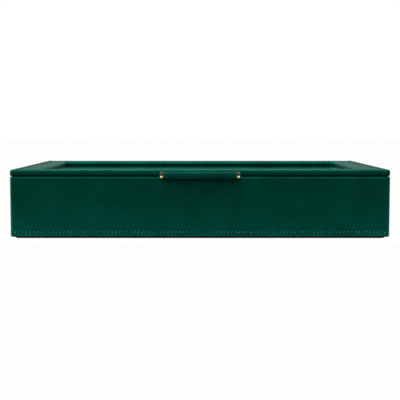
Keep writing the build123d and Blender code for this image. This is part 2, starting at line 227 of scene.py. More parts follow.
def nap_group() -> bpy.types.NodeTree:
    """Build the nap of suede and felt: short fibres over patches that were brushed one way or the other.

    The height is a fine noise, the tone a slow one with a little of the fine noise in it.

    Returns:
        The node group, with inputs Vector, Fibre and Patch and outputs Height and Tone.
    """
    takes = {"Vector": None, "Fibre": 2600.0, "Patch": 45.0}
    sketch, given, end = new_group("brushed_nap", takes, ("Height", "Tone"))
    fibre = sketch.noise(given["Vector"], given["Fibre"], 4.0, Roughness=0.7)["Fac"]
    patch = sketch.noise(given["Vector"], given["Patch"], 3.0, Distortion=1.2)["Fac"]
    both = sketch.math("MULTIPLY_ADD", fibre, 0.45, sketch.math("MULTIPLY", patch, 0.55))
    sketch.feed(end, {"Height": fibre, "Tone": sketch.ramp(both, 0.36, 0.64, 0.0, 1.0)})
    return sketch.tree


def handling_group() -> bpy.types.NodeTree:
    """Build the marks of handling: soft smudges and fine hairlines, as one mask.

    The mask is a slow noise raised to a soft threshold, plus a fine noise that is stretched along one axis.

    Returns:
        The node group, with inputs Vector, Smudge and Hairline and output Mask.
    """
    takes = {"Vector": None, "Smudge": 60.0, "Hairline": 900.0}
    sketch, given, end = new_group("handling_marks", takes, ("Mask",))
    smudge = sketch.noise(given["Vector"], given["Smudge"], 3.0)["Fac"]
    sockets = {"Vector": given["Vector"], "Rotation": (0.3, 0.5, 0.4), "Scale": (1.0, 1.0, 0.06)}
    stretched = sketch.node("ShaderNodeMapping", sockets).outputs[0]
    hair = sketch.noise(stretched, given["Hairline"], 2.0)["Fac"]
    lines = sketch.ramp(hair, 0.6, 0.72, 0.0, 0.45)
    soft = sketch.ramp(smudge, 0.45, 0.7, 0.0, 0.55)
    sketch.feed(end, {"Mask": sketch.math("ADD", lines, soft)})
    return sketch.tree


@dataclass
class Groups:
    """Shader node groups that several finishes share."""

    pebble: bpy.types.NodeTree = field(default_factory=pebble_group)
    nap: bpy.types.NodeTree = field(default_factory=nap_group)
    handling: bpy.types.NodeTree = field(default_factory=handling_group)


class Canvas(Sketch):
    """The node tree of a new material: one Principled shader, the output and the Object coordinates."""

    def __init__(self, name: str) -> None:
        """Start the material.

        Args:
            name: the material's name.
        """
        self.material = bpy.data.materials.new(name)
        self.material.use_nodes = True
        super().__init__(self.material.node_tree)
        self.tree.nodes.clear()
        self.shader = self.node("ShaderNodeBsdfPrincipled")
        self.output = self.node("ShaderNodeOutputMaterial", {"Surface": self.shader.outputs[0]})
        self.place = self.node("ShaderNodeTexCoord").outputs["Object"]

    def mix_in(self, share: Socket, other: bpy.types.Node) -> None:
        """Let another shader take a share of the surface."""
        sockets = {0: share, 1: self.shader.outputs[0], 2: other.outputs[0]}
        self.feed(self.output, {"Surface": self.node("ShaderNodeMixShader", sockets).outputs[0]})


# Finishes


@dataclass(frozen=True)
class Finish:
    """A finish, which each kind paints in its own way."""

    name: str

    def paint(self, canvas: Canvas, groups: Groups) -> dict[str, Any]:
        """Draw the finish.

        Args:
            canvas: the new material.
            groups: the shared node groups.

        Returns:
            Values or output sockets for the shader's inputs, by name.
        """
        raise NotImplementedError

    def make(self, groups: Groups) -> bpy.types.Material:
        """Build the material.

        Args:
            groups: the shared node groups.

        Returns:
            The new material.
        """
        canvas = Canvas(self.name)
        canvas.feed(canvas.shader, self.paint(canvas, groups))
        return canvas.material


@dataclass(frozen=True)
class LeatherFinish(Finish):
    """Fine-pebbled dyed leather: painted shade in creases and stitch holes, paler edges from wear and painted
    highlight.
    """

    deep: Colour
    dyed: Colour
    wear_and_highlight: Colour
    gloss: Colour
    roughness: float
    specular: float
    pebble_size: float
    relief: float
    bump_strength: float = 0.55
    crease_share: float = 0.4
    painted_shade_share: float = 0.92
    painted_shade_tone: float = 0.2
    least_lightening: float = 0.45
    worn_polish: float = 0.06
    smudge_dulling: float = 0.1

    def paint(self, canvas: Canvas, groups: Groups) -> dict[str, Any]:
        """Draw the leather; its edge attribute is wear and painted highlight, its seam attribute painted shade.

        Args:
            canvas: the new material.
            groups: the shared node groups.

        Returns:
            Values or output sockets for the shader's inputs, by name.
        """
        grain = canvas.group(groups.pebble, Vector=canvas.place, Scale=1.0 / self.pebble_size)
        marks = canvas.group(groups.handling, Vector=canvas.place)
        tone = canvas.blend(grain["Tone"], self.deep, self.dyed)
        # The edge attribute lightens the colour, patchily: wear, and a painted highlight on lit edges.
        patchy = canvas.ramp(grain["Tone"], 0.0, 1.0, self.least_lightening, 1.0)
        lightened = canvas.math("MULTIPLY", canvas.attribute("edge"), patchy)
        # Painted shade: the grain's creases and the seam attribute (stitch holes, parting edges, foot) darken
        # towards a deep shade tone.
        crease = canvas.math("MULTIPLY", grain["Crease"], self.crease_share)
        seam = canvas.math("MULTIPLY", canvas.attribute("seam"), self.painted_shade_share)
        dark = canvas.math("MAXIMUM", crease, seam)
        darkest = tuple(self.painted_shade_tone * value for value in self.deep)
        dulled = canvas.math("MULTIPLY_ADD", marks["Mask"], self.smudge_dulling, self.roughness)
        return {
            "Base Color": canvas.blend(dark, canvas.blend(lightened, tone, self.wear_and_highlight), darkest),
            "Roughness": canvas.math("MULTIPLY_ADD", lightened, -self.worn_polish, dulled),
            "Specular IOR Level": self.specular,
            "Specular Tint": self.gloss,
            "Normal": canvas.bump(grain["Height"], self.bump_strength, self.relief),
        }


@dataclass(frozen=True)
class ThreadFinish(Finish):
    """Twisted thread, its strands shown by bands that run aslant along each stitch."""

    shade: Colour
    light: Colour
    twists: float = 5.0
    unevenness: float = 0.6
    fuzz: float = 9000.0
    least_light: float = 0.6
    roughness: float = 0.62
    specular: float = 0.2
    sheen: float = 0.04
    relief: float = 0.12 * MM
    bump_strength: float = 0.7

    def paint(self, canvas: Canvas, groups: Groups) -> dict[str, Any]:
        """Draw the thread, which reads the piece's own UV map.

        Args:
            canvas: the new material.
            groups: the shared node groups.

        Returns:
            Values or output sockets for the shader's inputs, by name.
        """
        along = canvas.node("ShaderNodeUVMap", uv_map="along").outputs[0]
        sockets = {"Vector": along, "Scale": self.twists, "Distortion": self.unevenness}
        bands = {"wave_type": "BANDS", "bands_direction": "DIAGONAL"}
        strand = canvas.node("ShaderNodeTexWave", sockets, **bands).outputs["Fac"]
        fuzz = canvas.group(groups.nap, Vector=canvas.place, Fibre=self.fuzz)
        lit = canvas.math("MULTIPLY", strand, canvas.ramp(fuzz["Tone"], 0.0, 1.0, self.least_light, 1.0))
        return {
            "Base Color": canvas.blend(lit, self.shade, self.light),
            "Roughness": self.roughness,
            "Specular IOR Level": self.specular,
            "Sheen Weight": self.sheen,
            "Normal": canvas.bump(strand, self.bump_strength, self.relief),
        }


@dataclass(frozen=True)
class FibreFinish(Finish):
    """Suede, felt, board or tape: a matt body of short fibres in patches, on suede with a soft sheen."""

    shade: Colour
    light: Colour
    fibre: float
    patch: float
    roughness: float
    relief: float
    bump_strength: float = 0.5
    specular: float = 0.2
    smoothing: float = 0.1
    sheen: float = 0.0
    sheen_roughness: float = 0.45
    sheen_tint: Colour = WHITE

    def paint(self, canvas: Canvas, groups: Groups) -> dict[str, Any]:
        """Draw the fibres.

        Args:
            canvas: the new material.
            groups: the shared node groups.

        Returns:
            Values or output sockets for the shader's inputs, by name.
        """
        nap = canvas.group(groups.nap, Vector=canvas.place, Fibre=self.fibre, Patch=self.patch)
        return {
            "Base Color": canvas.blend(nap["Tone"], self.shade, self.light),
            "Roughness": canvas.ramp(nap["Tone"], 0.0, 1.0, self.roughness, self.roughness - self.smoothing),
            "Specular IOR Level": self.specular,
            "Sheen Weight": self.sheen,
            "Sheen Roughness": self.sheen_roughness,
            "Sheen Tint": self.sheen_tint,
            "Normal": canvas.bump(nap["Height"], self.bump_strength, self.relief),
        }


@dataclass(frozen=True)
class BrassFinish(Finish):
    """Brass with faint hairlines and smudges, and where it is tarnished a thin dull skin over the metal."""

    bright: Colour
    dull: Colour
    roughness: float
    tarnish: float = 0.0
    least_tarnish: float = 0.6
    dulling: float = 0.14
    smudge: float = 240.0
    hairline: float = 2400.0
    relief: float = 0.03 * MM
    bump_strength: float = 0.08

    def paint(self, canvas: Canvas, groups: Groups) -> dict[str, Any]:
        """Draw the brass.

        Args:
            canvas: the new material.
            groups: the shared node groups.

        Returns:
            Values or output sockets for the shader's inputs, by name.
        """
        marks = canvas.group(groups.handling, Vector=canvas.place, Smudge=self.smudge, Hairline=self.hairline)
        metal: Any = 1.0
        if self.tarnish > 0.0:
            cleanest = 1.0 - self.least_tarnish * self.tarnish
            metal = canvas.ramp(marks["Mask"], 0.0, 0.6, cleanest, 1.0 - self.tarnish)
        return {
            "Base Color": canvas.blend(marks["Mask"], self.bright, self.dull),
            "Roughness": canvas.math("MULTIPLY_ADD", marks["Mask"], self.dulling, self.roughness),
            "Metallic": metal,
            "Normal": canvas.bump(marks["Mask"], self.bump_strength, self.relief),
        }


@dataclass(frozen=True)
class GlassFinish(Finish):
    """Clear float glass, with faint smudges that only show in its gloss."""

    tint: Colour
    ior: float
    smudge: float = 26.0
    hairline: float = 700.0
    haze: float = 0.02

    def paint(self, canvas: Canvas, groups: Groups) -> dict[str, Any]:
        """Draw the glass; light for the lining passes straight through the pane.

        Args:
            canvas: the new material.
            groups: the shared node groups.

        Returns:
            Values or output sockets for the shader's inputs, by name.
        """
        marks = canvas.group(groups.handling, Vector=canvas.place, Smudge=self.smudge, Hairline=self.hairline)
        clear = canvas.node("ShaderNodeBsdfTransparent", {"Color": self.tint})
        path = canvas.node("ShaderNodeLightPath").outputs
        canvas.mix_in(canvas.math("MAXIMUM", path["Is Shadow Ray"], path["Is Diffuse Ray"]), clear)
        return {
            "Base Color": self.tint,
            "Transmission Weight": 1.0,
            "IOR": self.ior,
            "Roughness": canvas.math("MULTIPLY", marks["Mask"], self.haze),
        }


FINISHES = (
    LeatherFinish(
        "green_leather", deep=(0.0004, 0.046, 0.0305), dyed=(0.0006, 0.058, 0.0385),
        wear_and_highlight=(0.003, 0.155, 0.108), gloss=(0.05, 1.0, 0.8), roughness=0.5, specular=0.06,
        pebble_size=0.95 * MM, relief=0.06 * MM,
    ),
    ThreadFinish("green_thread", shade=(0.012, 0.17, 0.12), light=(0.05, 0.36, 0.26)),
    ThreadFinish("deep_green_thread", shade=(0.008, 0.05, 0.038), light=(0.025, 0.1, 0.078)),
    FibreFinish(
        "green_suede", shade=(0.006, 0.038, 0.029), light=(0.014, 0.07, 0.054), fibre=2600.0, patch=42.0,
        roughness=0.96, relief=0.12 * MM, sheen=0.3, sheen_tint=(0.22, 0.75, 0.58),
    ),
    FibreFinish(
        "black_felt", shade=(0.0015, 0.0015, 0.0015), light=(0.005, 0.005, 0.005), fibre=3000.0, patch=70.0,
        roughness=0.96, relief=0.15 * MM,
    ),
    BrassFinish("polished_brass", bright=(0.86, 0.7, 0.42), dull=(0.72, 0.55, 0.3), roughness=0.12),
    BrassFinish("satin_brass", bright=(0.8, 0.62, 0.33), dull=(0.6, 0.43, 0.2), roughness=0.3, tarnish=0.7),
    GlassFinish("window_glass", tint=(0.965, 0.99, 0.98), ior=1.5),
    FibreFinish(
        "fibreboard", shade=(0.26, 0.17, 0.1), light=(0.42, 0.3, 0.19), fibre=1400.0, patch=90.0,
        roughness=0.85, relief=0.1 * MM, bump_strength=0.3, specular=0.5,
    ),
    FibreFinish(
        "foam_tape", shade=(0.006, 0.006, 0.006), light=(0.014, 0.014, 0.014), fibre=2200.0, patch=90.0,
        roughness=0.7, relief=0.1 * MM, bump_strength=0.3, specular=0.5,
    ),
)
SLOT_FINISHES = {
    Slot.LEATHER: "green_leather",
    Slot.BOARD: "fibreboard",
    Slot.SUEDE: "green_suede",
    Slot.FELT: "black_felt",
    Slot.GLASS: "window_glass",
    Slot.BRASS: "polished_brass",
    Slot.TAPE: "foam_tape",
}


class Palette:
    """Every finish of the box, made once."""

    def __init__(self, groups: Groups) -> None:
        """Make the materials from their finishes."""
        self.made = {finish.name: finish.make(groups) for finish in FINISHES}

    def __getitem__(self, name: str) -> bpy.types.Material:
        """Look up a material by its finish's name."""
        return self.made[name]


# Surfaces


@dataclass(frozen=True)
class Band:
    """A soft band along a surface: how strong it is, where its middle lies and how wide it is."""

    strength: float
    middle: float
    width: float

    def over(self, value: np.ndarray) -> np.ndarray:
        """Strength at each value: a bell curve that falls to 1/e at the width from the middle."""
        return self.strength * np.exp(-((value - self.middle) / self.width) ** 2)


def fade(value: np.ndarray, start: float, stop: float) -> np.ndarray:
    """Share of the way from start to stop, held between none and one."""
    return np.clip((value - start) / (stop - start), 0.0, 1.0)


def arc(centre: tuple[float, float], radius: float, start: float, stop: float, count: int) -> np.ndarray:
    """Sample an arc: the centre plus the radius along evenly spaced angles.

    Args:
        centre: the arc's centre.
        radius: the arc's radius.
        start: first angle in degrees.
        stop: last angle in degrees.
        count: number of points.

    Returns:
        Points as a (count, 2) array.
    """
    angle = np.radians(np.linspace(start, stop, count))
    return np.column_stack((centre[0] + radius * np.cos(angle), centre[1] + radius * np.sin(angle)))


def grid_faces(rows: int, columns: int, close_rows: bool = True) -> np.ndarray:
    """Quads between neighbouring rows and columns of a grid of points, each row of which is a ring.

    Args:
        rows: number of rows.
        columns: number of points in a row.
        close_rows: whether the last row joins the first.

    Returns:
        Corner indices as an (n, 4) array.
    """
    row = np.arange(rows if close_rows else rows - 1)[:, None]
    column = np.arange(columns)[None, :]
    row_next, column_next = (row + 1) % rows, (column + 1) % columns
    pairs = ((row, column), (row_next, column), (row_next, column_next), (row, column_next))
    return np.stack([a * columns + b for a, b in pairs], axis=-1).reshape(-1, 4)


def outward(points: np.ndarray, faces: np.ndarray) -> np.ndarray:
    """Turn the faces of a closed surface outwards, by the sign of the volume that they enclose.

    Args:
        points: vertices as an (n, 3) array.
        faces: quads as an (m, 4) array.

    Returns:
        The quads, reversed where the volume was negative.
    """
    a, b, c, d = (points[faces[:, k]] for k in range(4))
    volume = np.einsum("ij,ij->", a, np.cross(b, c)) + np.einsum("ij,ij->", a, np.cross(c, d))
    return faces[:, ::-1] if volume < 0 else faces


def new_piece(
    name: str,
    points: np.ndarray,
    faces: Sequence[np.ndarray],
    material: bpy.types.Material,
    marks: Optional[dict[str, np.ndarray]] = None,
) -> bpy.types.Object:
    """Make a smooth-shaded mesh object at the origin.

    Args:
        name: the piece's name.
        points: vertices in metres, with their coordinates along the last axis.
        faces: arrays of corner indices.
        material: the finish.
        marks: vertex attributes by name.

    Returns:
        The new object.
    """
    mesh = bpy.data.meshes.new(name)
    polygons = [face for block in faces for face in block.tolist()]
    mesh.from_pydata(points.reshape(-1, 3).tolist(), [], polygons)
    mesh.polygons.foreach_set("use_smooth", np.ones(len(mesh.polygons), dtype=bool))
    for label, values in (marks or {}).items():
        layer = mesh.attributes.new(label, "FLOAT", "POINT")
        layer.data.foreach_set("value", np.ascontiguousarray(values, dtype=np.float32).ravel())
    mesh.materials.append(material)
    mesh.update()
    piece = bpy.data.objects.new(name, mesh)
    bpy.context.scene.collection.objects.link(piece)
    return piece


def loft(
    name: str,
    rings: np.ndarray,
    material: bpy.types.Material,
    marks: Optional[dict[str, np.ndarray]] = None,
) -> bpy.types.Object:
    """Make a piece from a row of rings of which the last joins the first, with its faces turned outwards.

    Args:
        name: the piece's name.
        rings: points as a (rings, points, 3) array in metres.
        material: the finish.
        marks: vertex attributes by name.

    Returns:
        The closed piece.
    """
    quads = outward(rings.reshape(-1, 3), grid_faces(rings.shape[0], rings.shape[1]))
    return new_piece(name, rings, [quads], material, marks)


def settle(piece: bpy.types.Object, body: Body, slot: Slot, *nodes: str) -> bpy.types.Object:
    """Let a piece ride on a body and stand for CAD nodes, and report it.

    Args:
        piece: the piece.
        body: the body that carries it.
        slot: the record's material slot; not used.
        nodes: CAD nodes that it stands for.

    Returns:
        The same piece.
    """
    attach(piece, body.value)
    if nodes:
        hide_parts(*nodes)
    LOG.info("%s: %d faces on %s", piece.name, len(piece.data.polygons), body.value)
    return piece


def span(node: str) -> tuple[np.ndarray, np.ndarray]:
    """Lowest and highest corner of a CAD node, as arrays in metres."""
    low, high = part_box(node)
    return np.array(low, float), np.array(high, float)


def hinge_axis() -> Sequence[float]:
    """A point of the lid's hinge axis, in metres."""
    return next(joint for joint in frame["joints"] if joint["name"] == "lid_hinge")["pos_m"]


@dataclass(frozen=True)
class RimPath:
    """A walk round the box, anticlockwise from the left end of the front, on a rounded rectangle.

    A depth is a distance in from the outer faces. The corner radius is the outer one less the depth, not
    under the least one, and grows to the window's own radius at the window's depth. Between the hold
    distances the walk keeps the same place along a side at every depth, and the ends of the sides take up
    the difference.
    """

    half_x: float
    half_y: float
    reference: float = 0.0
    corner: float = 3.0 * MM
    least: float = 0.4 * MM
    window_depth: float = 0.0
    window_corner: float = 0.0
    hold_x: float = 0.14
    hold_y: float = 0.06

    def radius(self, depth: np.ndarray) -> np.ndarray:
        """Corner radius, eased into the window's over the last quarter of the way in.

        Args:
            depth: depths as an array.

        Returns:
            The radius at each depth.
        """
        bend = np.maximum(self.corner - depth, self.least)
        if self.window_depth > 0.0:
            ease = np.clip(depth / self.window_depth * 4.0 - 3.0, 0.0, 1.0)
            bend = bend + (self.window_corner - self.least) * ease * ease * (3.0 - 2.0 * ease)
        return bend

    def straights(self, depth: np.ndarray) -> tuple[np.ndarray, np.ndarray]:
        """Half lengths of the straight sides in x and in y at each depth."""
        bend = self.radius(depth)
        return self.half_x - depth - bend, self.half_y - depth - bend

    def lengths(self) -> np.ndarray:
        """Measure the parts of the walk at the reference depth: side, corner, side, and so on.

        Returns:
            Eight lengths.
        """
        depth = np.array(self.reference)
        half_x, half_y = self.straights(depth)
        turn = QUARTER_TURN * float(self.radius(depth))
        return np.array([2 * half_x, turn, 2 * half_y, turn] * 2)

    def along_front(self, x: float) -> float:
        """Distance walked to a place on the front."""
        return float(self.straights(np.array(self.reference))[0]) + x

    def along_rear(self, x: float) -> float:
        """Distance walked to a place on the rear."""
        parts = self.lengths()
        return float(parts[:4].sum() + parts[4] / 2) - x

    def place(self, walk: np.ndarray, depth: np.ndarray) -> tuple[np.ndarray, ...]:
        """Points of the walk at given depths.

        On a side the point is the place along it plus the outward direction times the reach less the depth.
        On a corner it is the corner's centre plus the outward direction times the corner radius.

        Args:
            walk: distances walked, as an (n,) array.
            depth: depths as an (m,) or an (n, m) array.

        Returns:
            x and y as (n, m) arrays, and the outward direction's x and y as (n, 1) arrays.
        """
        parts = self.lengths()
        ends = np.cumsum(parts)
        walk = np.mod(walk, ends[-1])
        part = np.minimum(np.searchsorted(ends, walk, side="right"), len(parts) - 1)
        share = (walk - (ends - parts)[part]) / parts[part]
        side, turning = part // 2, part % 2 == 1
        facing = (side - 1) * QUARTER_TURN
        angle = facing + turning * share * QUARTER_TURN
        depth = np.atleast_2d(depth)
        bend = self.radius(depth)
        half_x, half_y = self.straights(depth)
        long_side = (side % 2 == 0)[:, None]
        half = np.where(long_side, half_x, half_y)
        half_home = np.where(long_side, *self.straights(np.array(self.reference)))
        hold = np.where(long_side, self.hold_x, self.hold_y)
        home = (2 * share - 1)[:, None] * half_home
        past = np.maximum(np.abs(home) - hold, 0.0) * (half - hold) / (half_home - hold)
        along = np.sign(home) * (np.minimum(np.abs(home), hold) + past)
        reach = np.where(long_side, self.half_y, self.half_x) - depth
        out_x, out_y = np.cos(angle)[:, None], np.sin(angle)[:, None]
        middle = facing + 0.5 * QUARTER_TURN
        corner_x = np.sign(np.cos(middle))[:, None] * half_x + bend * out_x
        corner_y = np.sign(np.sin(middle))[:, None] * half_y + bend * out_y
        at_corner = turning[:, None]
        x = np.where(at_corner, corner_x, out_x * reach - out_y * along)
        y = np.where(at_corner, corner_y, out_y * reach + out_x * along)
        return x, y, out_x, out_y


@dataclass
class StitchLine:
    """One row of stitches round the box, with the channel in the leather that it lies in."""

    path: RimPath
    swell: Band
    groove: Band = Band(0.3, 0.0, 0.6)
    shade: Band = Band(1.0, 0.0, 0.5)
    pitch: float = 3.5 * MM
    dash: float = 1.75 * MM
    dash_spread: float = 0.05
    slant: float = 0.75 * MM
    slant_spread: float = 0.12
    thread: float = 0.4 * MM
    taper: float = 0.92
    proud: float = 0.12 * MM
    sunk: float = 0.3 * MM
    around: int = 6
    along: int = 7

    def __post_init__(self) -> None:
        """Fit a whole number of stitches to the walk."""
        length = float(self.path.lengths().sum())
        self.count = int(round(length / self.pitch))
        self.step = length / self.count

    def channel(self, walk: np.ndarray, offset: np.ndarray) -> tuple[np.ndarray, np.ndarray]:
        """Shape of the channel: a narrow dip, deepest at the holes, with a low swell on each side, and its painted
        shade.

        Args:
            walk: distances walked, as an (n,) array.
            offset: distance from the row in millimetres, as an (n, m) array.

        Returns:
            How far the leather sinks in millimetres and how much painted shade darkens it, as (n, m) arrays.
        """
        holes = (0.5 + 0.5 * np.cos(FULL_TURN * walk / self.step))[:, None]
        dip = self.groove.over(offset) * (0.55 + 0.45 * holes)
        swell = self.swell.over(np.abs(offset)) * (1.0 - 0.6 * holes)
        return dip - swell, self.shade.over(offset) * (0.35 + 0.65 * holes ** 2)

    def build(
        self, name: str, height: float, upright: bool, material: bpy.types.Material,
    ) -> bpy.types.Object:
        """Make the stitches: short threads that rise from one hole and dip into the next.

        Each thread is a tube about a low arch between two holes. It bulges in its middle, lies a little
        aslant and its ends sink under the leather.

        Args:
            name: the piece's name.
            height: level of the row above the floor.
            upright: whether the row is on a wall, and not on the lid's top.
            material: the thread's finish.

        Returns:
            The stitching as one object.
        """
        rng = np.random.default_rng(SEED)
        t = np.linspace(-1.0, 1.0, self.along)
        turn = np.linspace(0.0, FULL_TURN, self.around, endpoint=False)
        middle = (np.arange(self.count) + 0.5) * self.step
        length = self.dash * (1.0 + self.dash_spread * rng.standard_normal(self.count))
        slant = self.slant * (1.0 + self.slant_spread * rng.standard_normal(self.count))
        walk = (middle[:, None] + 0.5 * length[:, None] * t[None, :]).ravel()
        x, y, out_x, out_y = self.path.place(walk, np.array([self.path.reference]))
        arch = np.tile(1.0 - t ** 2, self.count)
        rise = self.proud * arch - self.sunk * (1.0 - arch) ** 2
        lean = np.tile(t, self.count) * np.repeat(slant, self.along)
        radius = self.thread * np.tile(np.sqrt(np.maximum(1.0 - (self.taper * t) ** 4, 0.05)), self.count)
        out = np.column_stack((out_x, out_y, np.zeros_like(out_x)))
        up = np.broadcast_to(np.array([0.0, 0.0, 1.0]), out.shape)
        lift, across = (out, up) if upright else (up, out)
        centre = np.column_stack((x, y, np.full(len(walk), height))) + rise[:, None] * lift
        centre = centre + lean[:, None] * across
        cosine, sine = np.cos(turn)[None, :, None], np.sin(turn)[None, :, None]
        ring = cosine * lift[:, None, :] + sine * across[:, None, :]
        points = (centre[:, None, :] + radius[:, None, None] * ring).reshape(-1, 3)
        stride = self.along * self.around
        single = grid_faces(self.along, self.around, False)
        single = outward(points[:stride] - points[:stride].mean(axis=0), single)
        quads = (single[None] + (np.arange(self.count) * stride)[:, None, None]).reshape(-1, 4)
        piece = new_piece(name, points, [quads], material)
        grid_u = np.tile(np.repeat(t, self.around), self.count)
        grid_v = np.tile(turn / FULL_TURN, self.count * self.along)
        layer = piece.data.uv_layers.new(name="along")
        loops = np.zeros(len(piece.data.loops), dtype=np.int32)
        piece.data.loops.foreach_get("vertex_index", loops)
        pairs = np.column_stack((grid_u[loops], grid_v[loops]))
        layer.data.foreach_set("uv", pairs.astype(np.float32).ravel())
        return piece


def ripple(walk: np.ndarray, level: np.ndarray) -> np.ndarray:
    """Slow unevenness of glued leather: a sum of three long waves along the walk and across it.

    Args:
        walk: distances walked, as an (n,) array.
        level: distance across the strip, as an (n, m) array.

    Returns:
        Values of about -1 to 1 as an (n, m) array.
    """
    s = walk[:, None]
    first = np.sin(s / 0.021 + level / 0.013)
    second = np.sin(s / 0.0083 - level / 0.017 + 1.3)
    third = np.sin(s / 0.047 + level / 0.031 + 0.4)
    return 0.4 * first + 0.25 * second + 0.35 * third


# The two halves of the box


@dataclass(frozen=True)
class HingeBed:
    """Where the hinges lie, as depth from the rear and level from the face that meets the other half, in mm.

    The sign is that of the way from this face into the half's own leather.
    """

    sign: float
    axis_depth: float
    axis_level: float
    leaf_depth: float
    bevel_angle: float = 48.25
    hollow_angle: float = 60.0
    relief: float = 2.45
    leaf: float = 1.1
    leaf_clear: float = 0.1
    clear: float = 0.02

    @property
    def slope(self) -> float:
        """Rise of the rear bevel along the depth."""
        return math.tan(math.radians(self.bevel_angle))

    @property
    def leaf_edge(self) -> float:
        """Depth of the inner edge of the place that a leaf is let into."""
        return self.leaf_depth + self.leaf_clear

    def bevel(self, depths: Sequence[float], last_drop: float) -> np.ndarray:
        """Points of the rear bevel, a plane through the axis, and a last one on the rear face.

        Args:
            depths: depths of the bevel's points.
            last_drop: how far past the bevel the last point lies.

        Returns:
            Points as an (n, 2) array.
        """
        depth = np.append(depths, 0.0)
        past = np.append(np.full(len(depths), self.clear), last_drop)
        drop = (self.axis_depth - depth) * self.slope + past
        return np.column_stack((depth, self.axis_level + self.sign * drop))

    def knuckle(self, count: int) -> np.ndarray:
        """Points of the hollow for the knuckle: the leaf's end and an arc about the axis up to the bevel.

        Args:
            count: number of points on the arc.

        Returns:
            Points as an (n, 2) array.
        """
        meet = math.sqrt(self.relief ** 2 - (self.leaf - self.sign * self.axis_level) ** 2)
        start, stop = self.sign * self.hollow_angle, self.sign * (180.0 - self.bevel_angle)
        hollow = arc((self.axis_depth, self.axis_level), self.relief, start, stop, count)
        return np.vstack(([(self.axis_depth + meet, self.sign * self.leaf)], hollow))


@dataclass
class Sheet:
    """A leather skin that is being shaped, with n stations and m points in its cross-section."""

    walk: np.ndarray
    depth: np.ndarray
    level: np.ndarray
    part: np.ndarray
    out_x: np.ndarray
    out_y: np.ndarray

    def on(self, *names: str) -> np.ndarray:
        """Mask of the points in the named parts of the cross-section, as an (m,) array."""
        return np.isin(self.part, names)

    @property
    def corner(self) -> np.ndarray:
        """Closeness to the middle of a corner, as an (n, 1) array: one there, none on the sides."""
        return 2.0 * np.abs(self.out_x * self.out_y)


